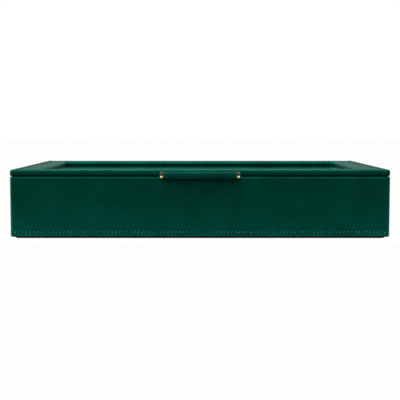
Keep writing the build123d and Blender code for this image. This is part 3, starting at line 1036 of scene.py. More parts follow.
@dataclass
class Shell:
    """One half of the box in its leather: a closed cross-section that is carried round it, zone by zone."""

    palette: Palette
    body: Body
    label: str
    leather: float = 0.9
    cut_clear: float = 0.1 * MM
    cut_step: float = 0.03 * MM
    bevel_gap: float = 0.02 * MM
    stitch_stations: int = 4
    facing: float = 0.99
    strap_span: Optional[tuple[float, float]] = None

    def read(self) -> None:
        """Read the outer sizes, the hinge axis and the hinge leaves from the frame."""
        low, high = span(f"{self.body.value}_leather_wrap")
        self.bottom, self.top = low[2], high[2]
        self.half_x, self.half_y = high[0], high[1]
        self.height = (self.top - self.bottom) / MM
        leaves = [span(f"hinge_{self.body.value}_leaf_{side}") for side in SIDES]
        self.hinge_spans = [(first[0] - self.cut_clear, last[0] + self.cut_clear) for first, last in leaves]
        self.pivot = hinge_axis()
        sign, meeting = (-1.0, self.top) if self.body is Body.BASE else (1.0, self.bottom)
        axis_depth, axis_level = (self.half_y - self.pivot[1]) / MM, (self.pivot[2] - meeting) / MM
        self.bed = HingeBed(sign, axis_depth, axis_level, (self.half_y - leaves[0][0][1]) / MM)

    def stations(self) -> np.ndarray:
        """Stations of the walk: a few to a stitch, the ends of every corner, and a pair at each zone's edge.

        Returns:
            Distances walked, in rising order.
        """
        even = np.arange(self.row.count * self.stitch_stations) * (self.row.step / self.stitch_stations)
        turns = np.cumsum(self.path.lengths())[:-1]
        cuts = [self.path.along_rear(x) for pair in self.hinge_spans for x in pair]
        cuts += [self.path.along_front(x) for x in self.strap_span or ()]
        pairs = np.array(cuts)[:, None] + self.cut_step * np.array([-0.5, 0.5])[None, :]
        walk = np.unique(np.round(np.concatenate((even, turns, pairs.ravel())), 9))
        return walk[np.concatenate(([True], np.diff(walk) > 0.4 * self.cut_step))]

    def zones(self, out_y: np.ndarray, x: np.ndarray) -> np.ndarray:
        """Share of each zone's cross-section at each station.

        Args:
            out_y: outward direction's y at each station, as an (n,) array.
            x: x of each station on the outer face, as an (n,) array.

        Returns:
            Shares as an (n, 4) array, in the order of Zone.
        """
        rear = np.clip(out_y, 0.0, 1.0)
        hinge, strap = np.zeros(len(x), dtype=bool), np.zeros(len(x), dtype=bool)
        for low, high in self.hinge_spans:
            hinge |= (x > low) & (x < high) & (out_y > self.facing)
        if self.strap_span:
            strap = (x > self.strap_span[0]) & (x < self.strap_span[1]) & (out_y < -self.facing)
        shares = np.zeros((len(x), len(Zone)))
        shares[:, Zone.REAR.value] = np.where(hinge, 0.0, rear)
        shares[:, Zone.HINGE.value] = hinge
        shares[:, Zone.STRAP.value] = strap
        shares[:, Zone.PLAIN.value] = np.where(strap | hinge, 0.0, 1.0 - rear)
        return shares

    def carry(self, sections: dict[Zone, dict[str, Any]]) -> Sheet:
        """Blend the zones' cross-sections at every station.

        Args:
            sections: for each zone the named parts of a closed cross-section, points of depth and level in
                millimetres, with the same count of points in every zone.

        Returns:
            The sheet, with depths and levels in metres.
        """
        walk = self.stations()
        x, _, out_x, out_y = self.path.place(walk, np.array([0.0]))
        shares = self.zones(out_y[:, 0], x[:, 0])
        joined = {zone: np.vstack([np.array(part, float) for part in parts.values()]) * MM
                  for zone, parts in sections.items()}
        stack = np.stack([joined.get(zone, joined[Zone.PLAIN]) for zone in Zone])
        mixed = np.einsum("nz,zmc->nmc", shares, stack)
        plain = sections[Zone.PLAIN]
        part = np.repeat(list(plain), [len(points) for points in plain.values()])
        return Sheet(walk, mixed[..., 0], mixed[..., 1], part, out_x, out_y)

    def finish(self, sheet: Sheet, marks: dict[str, np.ndarray]) -> bpy.types.Object:
        """Set the shaped cross-sections round the walk and close them both ways.

        No point passes the plane of the rear bevel, which goes through the hinge axis: the tray's points stay
        under it, where the bevel falls to the rear, and the lid's above it, where it rises.

        Args:
            sheet: the shaped skin.
            marks: vertex attributes as (n, m) arrays.

        Returns:
            The skin as one closed object.
        """
        x, y, _, _ = self.path.place(sheet.walk, sheet.depth)
        sign = self.bed.sign
        plane = self.pivot[2] + sign * self.bed.slope * (y - self.pivot[1]) + sign * self.bevel_gap
        limit = np.minimum if sign < 0 else np.maximum
        rings = np.stack((x, y, limit(sheet.level + self.bottom, plane)), axis=-1)
        return loft(f"{self.label}_leather", rings, self.palette["green_leather"], marks)

    def skin(self) -> bpy.types.Object:
        """Make the leather, which each half shapes in its own way."""
        raise NotImplementedError

    def dress(self, height: float, upright: bool, thread: str) -> None:
        """Make and place the leather and its stitches.

        Args:
            height: level of the row of stitches above the floor.
            upright: whether the row is on a wall, and not on the lid's top.
            thread: name of the thread's finish.
        """
        settle(self.skin(), self.body, Slot.LEATHER, f"{self.body.value}_leather_wrap")
        row = self.row.build(f"{self.label}_stitching", height, upright, self.palette[thread])
        settle(row, self.body, Slot.LEATHER)


@dataclass
class Tray(Shell):
    """The leather tray with its stitching and felt foot."""

    body: Body = Body.BASE
    label: str = "tray"
    rim_round: float = 1.4
    inner_round: float = 0.7
    foot_round: float = 1.6
    flap: float = 10.0
    turn_in: float = 14.0
    stitch_height: float = 4.8
    wall_levels: tuple[float, ...] = (55.0, 54.2, 52.4, 47.0, 40.0, 31.0, 22.0, 13.0)
    channel_levels: tuple[float, ...] = (3.6, 2.2, 1.4, 0.9, 0.45, 0.0, -0.45, -0.9, -1.4, -2.1)
    wall_ripple: float = 0.05
    ripple_start: tuple[float, float] = (9.0, 17.0)
    ripple_stop: tuple[float, float] = (50.0, 42.0)
    swell: Band = Band(0.07, 1.7, 0.8)
    # Paler bands: a painted highlight along the rim, wear above the foot, wear with a painted highlight at the
    # corners.
    rim_highlight: Band = Band(1.4, -0.82, 0.45)
    foot_rub: Band = Band(0.3, 2.2, 0.9)
    corner_rub_and_highlight: float = 0.6
    # Painted shade on the rim's outer edge, where the lid meets it, and on the foot's lower edge.
    rim_shade: tuple[float, float] = (-0.5, -0.3)
    foot_shade: tuple[float, float] = (1.1, 0.7)
    wall_fall: float = 0.1
    core_level: float = 30.0
    edge_points: int = 7
    felt_round: float = 0.25
    felt_core: float = 1.0
    felt_depths: tuple[float, ...] = (40.0, 4.0)
    felt_stations: int = 420

    def __post_init__(self) -> None:
        """Read the tray's sizes from the frame."""
        self.read()
        self.rim_width = (self.half_x + span("base_left_wall")[1][0]) / MM
        self.path = RimPath(self.half_x, self.half_y)
        self.row = StitchLine(self.path, self.swell)

    def rim_sections(self) -> dict[Zone, tuple[np.ndarray, np.ndarray]]:
        """Rim of each zone, from the inside flap over the top to the outer wall, and back inside the leather.

        The plain rim has a rounded inner and outer edge. At the rear the outer edge is cut by the bevel
        through the hinge axis. Under a hinge the top is sunk for the leaf and hollowed round the knuckle.

        Returns:
            For each zone the outer and the inner points, depth and level from the rim in millimetres.
        """
        width, skin, bed, bend = self.rim_width, self.leather, self.bed, self.inner_round
        flap = [(width, -self.flap), (width, -bend)]
        inner_edge = arc((width - bend, -bend), bend, 45, 90, 2)
        flat = [(7.4, 0), (5.6, 0)]
        outer_edge = arc((self.rim_round, -self.rim_round), self.rim_round, 90, 180, self.edge_points + 1)
        slope = bed.bevel(np.linspace(bed.axis_depth - 0.15, 0.14, 8), 0.45)
        leaf_edge = bed.leaf_edge
        sunk = [(width - 0.05, -0.1), (leaf_edge + 0.1, 0.0), (leaf_edge, -bed.leaf), (7.5, -bed.leaf)]
        inside = {
            Zone.PLAIN: [(skin, -1.4), (1.4, -skin), (4.5, -skin), (width - skin, -skin), (9.0, -2.0)],
            Zone.REAR: [(skin, -4.4), (1.4, -3.5), (3.2, -1.4), (width - skin, -skin), (9.0, -2.0)],
            Zone.HINGE: [(skin, -4.4), (1.4, -4.1), (3.2, -3.5), (width - skin, -2.2), (9.0, -3.0)],
        }
        outside = {
            Zone.PLAIN: (flap, inner_edge, flat, [(3.8, 0), (2.4, 0)], outer_edge),
            Zone.REAR: (flap, inner_edge, flat, [(3.9, 0)], slope),
            Zone.HINGE: (flap, sunk, bed.knuckle(7), slope[-2:]),
        }
        end = [(9.0, -self.flap)]
        return {zone: (np.vstack(outside[zone]), np.array(inside[zone] + end)) for zone in outside}

    def skin(self) -> bpy.types.Object:
        """Make the leather of the tray: the rim, the wall with its stitch channel, the foot and the turn-in.

        No point of the wall rises above the rim's outer end. The wall has the slow unevenness of glued
        leather. It has a painted highlight under the rim, wear above the foot and wear with a painted
        highlight at the corners. Painted shade darkens the rim's outer edge where the lid meets it, not at
        the rear, and the foot's lower edge.

        Returns:
            The skin.
        """
        levels = np.concatenate((self.wall_levels, self.stitch_height + np.array(self.channel_levels)))
        fall = self.wall_fall * np.arange(1, len(levels) + 1)
        foot = arc((self.foot_round, self.foot_round), self.foot_round, 180, 270, 5)
        lift = np.array([0.0, self.height])
        lower = {
            "foot": foot[1:],
            "under": [(4.0, 0.0), (self.turn_in, 0.0)],
            "inside": [(self.turn_in, self.leather), (self.foot_round, self.leather),
                       (self.leather, self.foot_round), (self.leather, self.core_level)],
        }
        sections = {}
        for zone, (outer, inner) in self.rim_sections().items():
            rim = outer + lift
            below = np.minimum(levels, rim[-1, 1] - fall)
            wall = np.vstack((rim[-1:], np.column_stack((np.zeros_like(below), below)), foot[:1]))
            upper = {"rim": rim[:-self.edge_points], "edge": rim[-self.edge_points:-1], "wall": wall}
            sections[zone] = {**upper, **lower, "core": inner + lift}
        sheet = self.carry(sections)
        height = sheet.level / MM
        on_wall, outside = sheet.on("wall"), sheet.on("rim", "edge", "wall", "foot")
        # The stitch channel sinks and takes painted shade, darkest at the holes.
        sink, dark = self.row.channel(sheet.walk, height - self.stitch_height)
        middle = fade(height, *self.ripple_start) * fade(height, *self.ripple_stop)
        uneven = self.wall_ripple * middle * ripple(sheet.walk, sheet.level)
        sheet.depth = sheet.depth + on_wall * (sink + uneven) * MM
        from_rim = height - self.height
        # Painted highlight on the rim's upper arc, wear above the foot, wear and painted highlight at the corners.
        wear_and_highlight = self.rim_highlight.over(from_rim) + self.foot_rub.over(height) + self.corner_rub_and_highlight * sheet.corner
        # Painted shade: the rim's outer edge below the lid, except at the rear, and the foot's lower edge.
        rim_shade = sheet.on("edge") * fade(from_rim, *self.rim_shade) * (sheet.out_y < 0.5)
        foot_shade = outside * fade(height, *self.foot_shade)
        marks = {
            "edge": np.clip(wear_and_highlight * outside, 0.0, 1.0),
            "seam": on_wall * dark + rim_shade + foot_shade,
        }
        return self.finish(sheet, marks)

    def foot_pad(self) -> bpy.types.Object:
        """Make the felt under the tray: a flat sheet with a soft rounded edge, closed beneath.

        Each ring of the sheet is a rounded rectangle at its own depth and level, and the inmost rings meet.

        Returns:
            The pad.
        """
        low, high = span("base_pad")
        thick = (high[2] - low[2]) / MM
        path = RimPath(high[0], high[1])
        bend, inmost = self.felt_round * thick, high[1] / MM - self.felt_core
        side = np.vstack((arc((bend, thick - bend), bend, 90, 180, 4), arc((bend, bend), bend, 180, 270, 4)))
        depths = np.array([inmost, *self.felt_depths])
        upper = np.column_stack((depths, np.full_like(depths, thick)))
        lower = np.column_stack((depths[::-1], np.zeros_like(depths)))
        rings = np.vstack((upper, side, lower)) * MM
        walk = np.linspace(0.0, float(path.lengths().sum()), self.felt_stations, endpoint=False)
        x, y, _, _ = path.place(walk, rings[:, 0])
        level = np.broadcast_to(rings[:, 1] + low[2], x.shape)
        return loft("felt_foot", np.stack((x, y, level), axis=-1), self.palette["black_felt"])

    def build(self) -> None:
        """Make and place the tray's pieces."""
        self.dress(self.bottom + self.stitch_height * MM, True, "green_thread")
        pad = settle(self.foot_pad(), Body.BASE, Slot.FELT, "base_pad")


@dataclass
class Lid(Shell):
    """The leather border of the lid, rolled into the window, with its stitching."""

    body: Body = Body.LID
    label: str = "lid"
    edge_round: float = 1.6
    window_round: float = 2.2
    window_corner: float = 4.0
    glass_lap: float = 6.0
    tape: float = 0.4
    under_end: float = 12.3
    fold: float = 6.5
    strap_clear: float = 0.05
    welt: Band = Band(1.0, 1.9, 1.7)
    welt_height: float = 0.6
    rear_welt: float = 0.15
    corner_drop: float = 0.5
    roll: Band = Band(0.4, -2.4, 1.8)
    crown: float = 0.1
    top_ripple: float = 0.03
    swell: Band = Band(0.06, 1.7, 0.8)
    # Wear with a painted highlight along the outer top edge and the roll; painted shade on the left and right
    # edges.
    top_rub_and_highlight: Band = Band(1.0, 0.0, 1.0)
    edge_rub_and_highlight: Band = Band(0.5, 0.0, 1.8)
    roll_rub_and_highlight: Band = Band(0.5, -0.7, 1.0)
    side_shade: Band = Band(0.5, 0.0, 3.0)
    # Painted shade on the lower outer edge, where the lid meets the tray: strength, heights and reach.
    paint: float = 0.95
    shade_edge: tuple[float, float] = (1.75, 1.35)
    shade_depth: float = 3.0
    stitch_depth: float = 4.8
    channel_depths: tuple[float, ...] = (-1.9, -1.3, -0.85, -0.45, 0.0, 0.45, 0.85, 1.3, 2.2)

    def __post_init__(self) -> None:
        """Read the lid's sizes from the frame."""
        self.read()
        pane = span("window_glass")[1]
        self.border = (self.half_x - pane[0]) / MM + self.glass_lap
        self.lip = (pane[2] - self.bottom) / MM + self.tape
        self.strap = span("pull_tab_root")
        self.strap_span = (self.strap[0][0] - self.cut_clear, self.strap[1][0] + self.cut_clear)
        self.path = RimPath(
            self.half_x, self.half_y, self.stitch_depth * MM,
            window_depth=self.border * MM, window_corner=self.window_corner * MM, hold_x=0.13, hold_y=0.05,
        )
        self.row = StitchLine(self.path, self.swell)

    def under_sections(self) -> dict[Zone, tuple[np.ndarray, np.ndarray]]:
        """Underside and lower outer edge of each zone, and the same inside the leather.

        The plain edge is rounded. At the rear the bevel through the hinge axis cuts it, under a hinge the
        leaf and the knuckle are let in, and at the strap the leather is raised by the strap's thickness.

        Returns:
            For each zone the outer and the inner points, depth and level from the underside in millimetres.
        """
        end, skin, bed, bend = self.under_end, self.leather, self.bed, self.edge_round
        ledge = [(end, 0), (8.0, 0), (5.0, 0)]
        slope = bed.bevel((2.6, 1.7, 0.8, 0.14), 0.25)
        let_in = [(end, 0), (bed.leaf_edge + 0.05, 0), (bed.leaf_edge, bed.leaf)]
        strap_top = (self.strap[1][2] - self.bottom) / MM + self.strap_clear
        strap_in = (self.strap[1][1] + self.half_y) / MM + self.strap_clear
        raised = [
            (end, 0), (strap_in + 0.05, 0), (strap_in, strap_top), (6.0, strap_top), (3.0, strap_top),
            (1.0, strap_top), (0.3, strap_top + 0.02), (0.06, strap_top + 0.15), (0.0, strap_top + 0.4),
        ]
        roof = strap_top + skin
        outside = {
            Zone.PLAIN: (ledge, [(3.2, 0)], arc((bend, bend), bend, 270, 180, 5)),
            Zone.REAR: (ledge, [(3.45, 0)], slope),
            Zone.HINGE: (let_in, bed.knuckle(3), slope[-2:]),
            Zone.STRAP: (raised,),
        }
        inside = {
            Zone.PLAIN: [(skin, 1.6), (1.6, skin), (8.0, skin)],
            Zone.REAR: [(1.0, 3.9), (3.2, 1.4), (8.0, skin)],
            Zone.HINGE: [(1.0, 4.2), (3.2, 3.5), (8.0, 2.2)],
            Zone.STRAP: [(skin, roof), (1.6, roof), (11.6, roof)],
        }
        return {zone: (np.vstack(outside[zone]), np.array(inside[zone] + [(end, skin)])) for zone in outside}

    def skin(self) -> bpy.types.Object:
        """Make the leather of the lid: the border's underside, edge and top, and its roll into the window.

        The top is very slightly crowned between the stitch channel and the roll. A low welt runs along its
        outer edge, lower at the rear and the corners, and a low swell along the roll. Both are paler, from
        wear and a painted highlight; the left and right edges get painted shade, and painted shade darkens
        the lower outer edge where the lid meets the tray.

        Returns:
            The skin.
        """
        seam, border, thick = self.stitch_depth, self.border, self.height
        bend, skin, edge = self.window_round, self.leather, self.edge_round
        inner = border - bend
        flat = np.concatenate((seam + np.array(self.channel_depths), np.linspace(seam + 4.0, inner - 1.5, 5)))
        fold_end = border - self.fold
        upper = {
            "edge": arc((edge, thick - edge), edge, 180, 90, 5),
            "top": np.column_stack((flat, np.full(len(flat), thick))),
            "roll": arc((inner, thick - bend), bend, 90, 0, 6),
            "lip": [(border, self.lip)],
            "fold": [(fold_end, self.lip), (fold_end, self.lip + skin)],
            "inside": [
                (border - skin, self.lip + skin), (border - skin, thick - bend), (inner, thick - skin),
                (12.0, thick - skin), (edge, thick - skin), (skin, thick - edge + 0.3),
            ],
        }
        sheet = self.carry({
            zone: {"under": under, **upper, "core": core}
            for zone, (under, core) in self.under_sections().items()
        })
        inset = sheet.depth / MM
        on_top, outside = sheet.on("top"), sheet.on("under", "edge", "top", "roll", "lip")
        # The stitch channel sinks and takes painted shade, darkest at the holes.
        sink, dark = self.row.channel(sheet.walk, inset - seam)
        crown = self.crown * np.sin(fade(inset, seam + 1.0, inner) * math.pi)
        rise = on_top * (crown - sink + self.top_ripple * ripple(sheet.walk, sheet.depth))
        rear = np.clip(sheet.out_y, 0.0, 1.0)
        welt = self.welt_height + (self.rear_welt - self.welt_height) * rear - self.corner_drop * sheet.corner
        rise = rise + sheet.on("edge", "top") * welt * self.welt.over(inset)
        rise = rise + sheet.on("top", "roll") * self.roll.over(inset - border)
        sheet.level = sheet.level + rise * MM
        height = sheet.level / MM
        sides = sheet.out_x ** 2
        # Wear with a painted highlight along the outer top edge and the roll, none on the left and right edges.
        wear_and_highlight = self.top_rub_and_highlight.over(height - thick) * self.edge_rub_and_highlight.over(inset) * (1.0 - sides)
        wear_and_highlight = wear_and_highlight + self.roll_rub_and_highlight.over(inset - border)
        # Painted shade on the lower outer edge, where the lid meets the tray.
        paint = sheet.on("under") * fade(height, *self.shade_edge) * (inset < self.shade_depth)
        # The seam attribute is painted shade: stitch holes, the lower outer edge, and the left and right edges.
        marks = {
            "edge": np.clip(wear_and_highlight * outside, 0.0, 1.0),
            "seam": on_top * dark + self.paint * paint + outside * sides * self.side_shade.over(inset),
        }
        return self.finish(sheet, marks)

    def build(self) -> None:
        """Make and place the lid's pieces."""
        self.dress(self.top, False, "deep_green_thread")


# The pull, the ring rolls and the rest


@dataclass
class Pull:
    """The pull: a leather strap rolled round a brass rod, with a bead on each end of the rod.

    Lengths are in millimetres. An ease is the angle of the roll that a hollow to the neck takes up.
    """

    palette: Palette
    roll: float = 3.25
    bore: float = 2.05
    neck: float = 0.55
    lower_ease: float = 14.0
    lower_lean: float = 0.8
    upper_ease: float = 16.0
    upper_lean: float = 0.6
    edge_soft: float = 0.3
    soft_length: float = 0.35
    wear: float = 0.6
    wear_length: float = 0.8
    end_shares: tuple[float, ...] = (1.0, 0.995, 0.985, 0.96)
    bend_start: float = 0.3
    bend_stop: float = 0.2
    bead_round: float = 0.48
    roll_points: int = 64
    ease_points: int = 6
    root_points: int = 8

    def __post_init__(self) -> None:
        """Read the pull's sizes from the frame."""
        self.loop = span("pull_tab_loop")
        self.root = span("pull_tab_root")
        self.caps = {side: span(f"pull_cap_{side}") for side in SIDES}
        rod = span("pull_rod")
        self.axis_y, self.axis_z = float(rod[0][1] + rod[1][1]) / 2, float(rod[0][2] + rod[1][2]) / 2

    def outline(self) -> np.ndarray:
        """Outline of the strap seen from its end: the root, the neck and the roll, eased into each other.

        The roll is a circle. Its two ends run into the neck's lower and upper face over a small hollow, which
        is a quadratic curve between the circle and the face.

        Returns:
            Points of y and z in metres, as an (n, 2) array.
        """
        low, high, inner = self.root[0][2], self.root[1][2], self.root[1][1]
        radius = self.roll * MM
        start = math.degrees(math.asin((low - self.axis_z) / radius)) - self.lower_ease
        stop = math.degrees(math.asin((high - self.axis_z) / radius)) + self.upper_ease - 360.0
        circle = arc((self.axis_y, self.axis_z), radius, start, stop, self.roll_points)
        neck = self.axis_y + (self.roll + self.neck) * MM
        t = np.linspace(0.0, 1.0, self.ease_points)[:, None]

        def ease(a: np.ndarray, b: np.ndarray, c: np.ndarray) -> np.ndarray:
            """Quadratic curve from a to c that leans towards b."""
            return (1 - t) ** 2 * a + 2 * t * (1 - t) * b + t ** 2 * c

        lower_end, upper_end = np.array([neck, low]), np.array([neck, high])
        lower = ease(lower_end, np.array([neck - self.lower_lean * MM, low]), circle[0])[:-1]
        upper = ease(circle[-1], np.array([neck - self.upper_lean * MM, high]), upper_end)[1:]
        run = np.linspace(0.0, 1.0, self.root_points)[:, None]
        root_low = np.array([inner, low]) + run * (lower_end - np.array([inner, low]))
        root_high = upper_end + run * (np.array([inner, high]) - upper_end)
        return np.vstack((root_low[:-1], lower, circle, upper, root_high[1:]))

    def strap(self) -> bpy.types.Object:
        """Make the strap: its outline carried along x, drawn in a little at both ends, with the rod's bore.

        Returns:
            The strap as one closed object.
        """
        outline = self.outline()
        tangent = np.roll(outline, -1, axis=0) - np.roll(outline, 1, axis=0)
        tangent /= np.linalg.norm(tangent, axis=1)[:, None]
        inward = np.column_stack((-tangent[:, 1], tangent[:, 0]))
        centre = np.array([self.axis_y, self.axis_z])
        if np.einsum("ij,ij->", inward, centre - outline) < 0:
            inward = -inward
        half = self.loop[1][0]
        end = np.array(self.end_shares)
        shares = np.concatenate((end, np.linspace(0.9, -0.9, 19), -end[::-1]))
        draw = self.edge_soft * MM * np.exp(-(1.0 - np.abs(shares)) * half / (self.soft_length * MM))
        shell = outline[None] + draw[:, None, None] * inward[None]
        first = math.atan2(outline[0, 1] - centre[1], outline[0, 0] - centre[0])
        angle = np.linspace(first, first - FULL_TURN, len(outline), endpoint=False)
        bore = centre + self.bore * MM * np.column_stack((np.cos(angle), np.sin(angle)))
        shares = np.concatenate(([1.0], shares, [-1.0]))
        rings = np.empty((len(shares), len(outline), 3))
        rings[..., 0] = (shares * half)[:, None]
        rings[..., 1:] = np.concatenate((bore[None], shell, bore[None]))
        lightened = self.wear * np.exp(-(1.0 - np.abs(shares)) * half / (self.wear_length * MM))
        marks = {"edge": np.repeat(lightened, len(outline))}
        return loft("pull_strap", rings, self.palette["green_leather"], marks)

    def bead(self, side: str) -> bpy.types.Object:
        """Make a bead: a profile spun round the rod's axis, domed outside and rounded towards the strap.

        Args:
            side: left or right.

        Returns:
            The bead.
        """
        low, high = self.caps[side]
        sign, inner = (1.0, low[0]) if side == "right" else (-1.0, high[0])
        length, radius = (high[0] - low[0]) / MM, (high[2] - low[2]) / 2 / MM
        bend = self.bead_round * length
        profile = np.vstack((
            [(0.0, 0.3), (0.0, radius - bend - 0.1)],
            arc((bend, radius - bend), bend, 178, 90, 12),
            arc((length - bend, radius - bend), bend, 90, 8, 12),
            [(length - 0.01, radius - bend - 0.3), (length, 0.6), (length, 0.05)],
        )) * MM
        turn = np.linspace(0.0, FULL_TURN, 64, endpoint=False)
        rings = np.empty((len(profile), len(turn), 3))
        rings[..., 0] = inner + sign * profile[:, :1]
        rings[..., 1] = self.axis_y + profile[:, 1:] * np.cos(turn)[None]
        rings[..., 2] = self.axis_z + profile[:, 1:] * np.sin(turn)[None]
        return loft(f"pull_bead_{side}", rings, self.palette["polished_brass"])

    def build(self) -> None:
        """Make and place the pull's pieces."""
        strap = self.strap()
        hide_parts("pull_tab_root", "pull_tab_loop")
        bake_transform(strap)
        LOG.info("%s: %d faces between lid and pull", strap.name, len(strap.data.polygons))
        for side in SIDES:
            settle(self.bead(side), Body.PULL, Slot.BRASS, f"pull_cap_{side}")


def vertices(mesh: bpy.types.Mesh) -> np.ndarray:
    """Read the vertices of a mesh.

    Args:
        mesh: the mesh.

    Returns:
        Coordinates as an (n, 3) array.
    """
    flat = np.empty(len(mesh.vertices) * 3, dtype=np.float32)
    mesh.vertices.foreach_get("co", flat)
    return flat.reshape(-1, 3).astype(float)


@dataclass
class RingRolls:
    """The padded suede rolls that rings are pushed between: covers that are stuffed as cloth."""

    palette: Palette
    count: int = 8
    foot_bend: float = 3.0 * MM
    end_bend: float = 4.0 * MM
    end_shares: tuple[float, ...] = (0.02, 0.25, 0.5, 0.75)
    end_dish: float = 0.25 * MM
    dish_shares: tuple[float, ...] = (1.0, 0.8, 0.5, 0.2)
    rows: int = 30
    around: int = 64
    slack: float = 0.3 * MM
    voxel: float = 3.0 * MM
    pressure: float = 9.0
    frames: int = 20
    reach: float = 3.0 * MM
    clear: float = 0.1 * MM
    uneven: float = 0.02
    pleats: int = 15
    pleat_depth: float = 0.35 * MM
    pleat_length: float = 6.0 * MM
    pleat_seed: int = SEED + 50

    def outline(self, half: float, height: float) -> np.ndarray:
        """Cross-section of a roll: a round top, straight flanks and a flat foot with rounded corners.

        Args:
            half: half the roll's width.
            height: the roll's height.

        Returns:
            Points of y and z from the middle of the foot, evenly spaced, in metres.
        """
        bend = self.foot_bend
        corner, dome = arc((half - bend, bend), bend, -90, 0, 10), arc((0.0, height - half), half, 0, 90, 40)
        right = np.vstack(([(0.0, 0.0)], corner, dome))
        left = right[::-1][1:-1] * np.array([-1.0, 1.0])
        ring = np.vstack((right, left, right[:1]))
        run = np.concatenate(([0.0], np.cumsum(np.linalg.norm(np.diff(ring, axis=0), axis=1))))
        even = np.linspace(0.0, run[-1], self.around, endpoint=False)
        return np.column_stack((np.interp(even, run, ring[:, 0]), np.interp(even, run, ring[:, 1])))

    def cover(self, index: int, slack: float) -> bpy.types.Object:
        """Make one empty cover: its cross-section carried along x, rounded and closed at the ends.

        A station's cross-section shrinks towards its middle by a share. The share is one along the roll,
        falls on a quarter circle at the ends and then to nothing across the end, which is a little dished.
        Slow waves make the cut uneven.

        Args:
            index: the roll's number.
            slack: how far the cover stays inside the roll's space.

        Returns:
            The cover.
        """
        low, high = span(f"ring_roll_{index}")
        low, high = low + np.array([slack, slack, self.clear]), high - slack
        length, width, height = high - low
        half, bend = width / 2, self.end_bend
        ring = self.outline(half, height)
        middle = np.array([0.0, 0.5 * height])
        quarter = np.linspace(0.0, QUARTER_TURN, 7)
        shrunk = 1.0 - bend / half
        end_share = np.concatenate((self.end_shares, shrunk + (1.0 - shrunk) * np.sin(quarter)))
        dish = self.end_dish * np.array(self.dish_shares)
        end_place = np.concatenate((dish, bend * (1.0 - np.cos(quarter))))
        run = np.linspace(bend, length - bend, self.rows)[1:-1]
        share = np.concatenate((end_share, np.ones(len(run)), end_share[::-1]))
        place = np.concatenate((end_place, run, length - end_place[::-1]))
        phase = np.random.default_rng(SEED + index).uniform(0.0, FULL_TURN, 3)
        turn = np.linspace(0.0, FULL_TURN, self.around, endpoint=False)[None, :]
        far = place[:, None] / length
        waves = 0.35 * np.sin(9.0 * far + phase[0]) + 0.3 * np.sin(15.0 * far + 2 * turn + phase[1])
        waves = waves + 0.35 * np.sin(6.0 * far - turn + phase[2])
        cut = share[:, None] * (1.0 + self.uneven * (waves - 1.0))
        yz = middle + (ring - middle)[None] * cut[..., None]
        points = np.empty((len(place), self.around, 3))
        points[..., 0] = low[0] + place[:, None]
        points[..., 1] = (low[1] + high[1]) / 2 + yz[..., 0]
        points[..., 2] = low[2] + yz[..., 1]
        flat = points.reshape(-1, 3)
        quads = grid_faces(len(place), self.around, False)
        turned = outward(flat - flat.mean(axis=0), quads)
        end = np.arange(self.around)
        caps = np.stack((end[::-1], end + (len(place) - 1) * self.around))
        if turned[0, 0] != quads[0, 0]:
            caps = caps[:, ::-1]
        return new_piece(f"ring_cushion_{index}", flat, [turned, caps], self.palette["green_suede"])

    def remesh(self, piece: bpy.types.Object) -> None:
        """Give a cover an even mesh of small squares, the weave that the cloth is worked out on.

        Args:
            piece: the cover.
        """
        modifier = piece.modifiers.new("even", "REMESH")
        modifier.mode, modifier.voxel_size, modifier.use_smooth_shade = "VOXEL", self.voxel, True
        old = piece.data
        graph = bpy.context.evaluated_depsgraph_get()
        even = bpy.data.meshes.new_from_object(piece.evaluated_get(graph), depsgraph=graph)
        piece.modifiers.clear()
        piece.data = even
        bpy.data.meshes.remove(old)
        even.name = piece.name
        even.materials.clear()
        even.materials.append(self.palette["green_suede"])
        even.polygons.foreach_set("use_smooth", np.ones(len(even.polygons), dtype=bool))

    def stuff(self, pieces: Sequence[bpy.types.Object]) -> None:
        """Blow up the covers as cloth, all in one run, and put the result into their meshes.

        Args:
            pieces: the covers.
        """
        for piece in pieces:
            self.remesh(piece)
            cloth = piece.modifiers.new("stuffing", "CLOTH")
            cloth.settings.use_pressure = True
            cloth.settings.uniform_pressure_force = self.pressure
            cloth.settings.effector_weights.gravity = 0.0
            cloth.point_cache.frame_start, cloth.point_cache.frame_end = 1, self.frames
        scene = bpy.context.scene
        for frame_number in range(1, self.frames + 1):
            scene.frame_set(frame_number)
        graph = bpy.context.evaluated_depsgraph_get()
        swollen = [vertices(piece.evaluated_get(graph).data) for piece in pieces]
        for index, (piece, full) in enumerate(zip(pieces, swollen), start=1):
            piece.modifiers.clear()
            self.fit(index, piece, full)
        scene.frame_set(1)

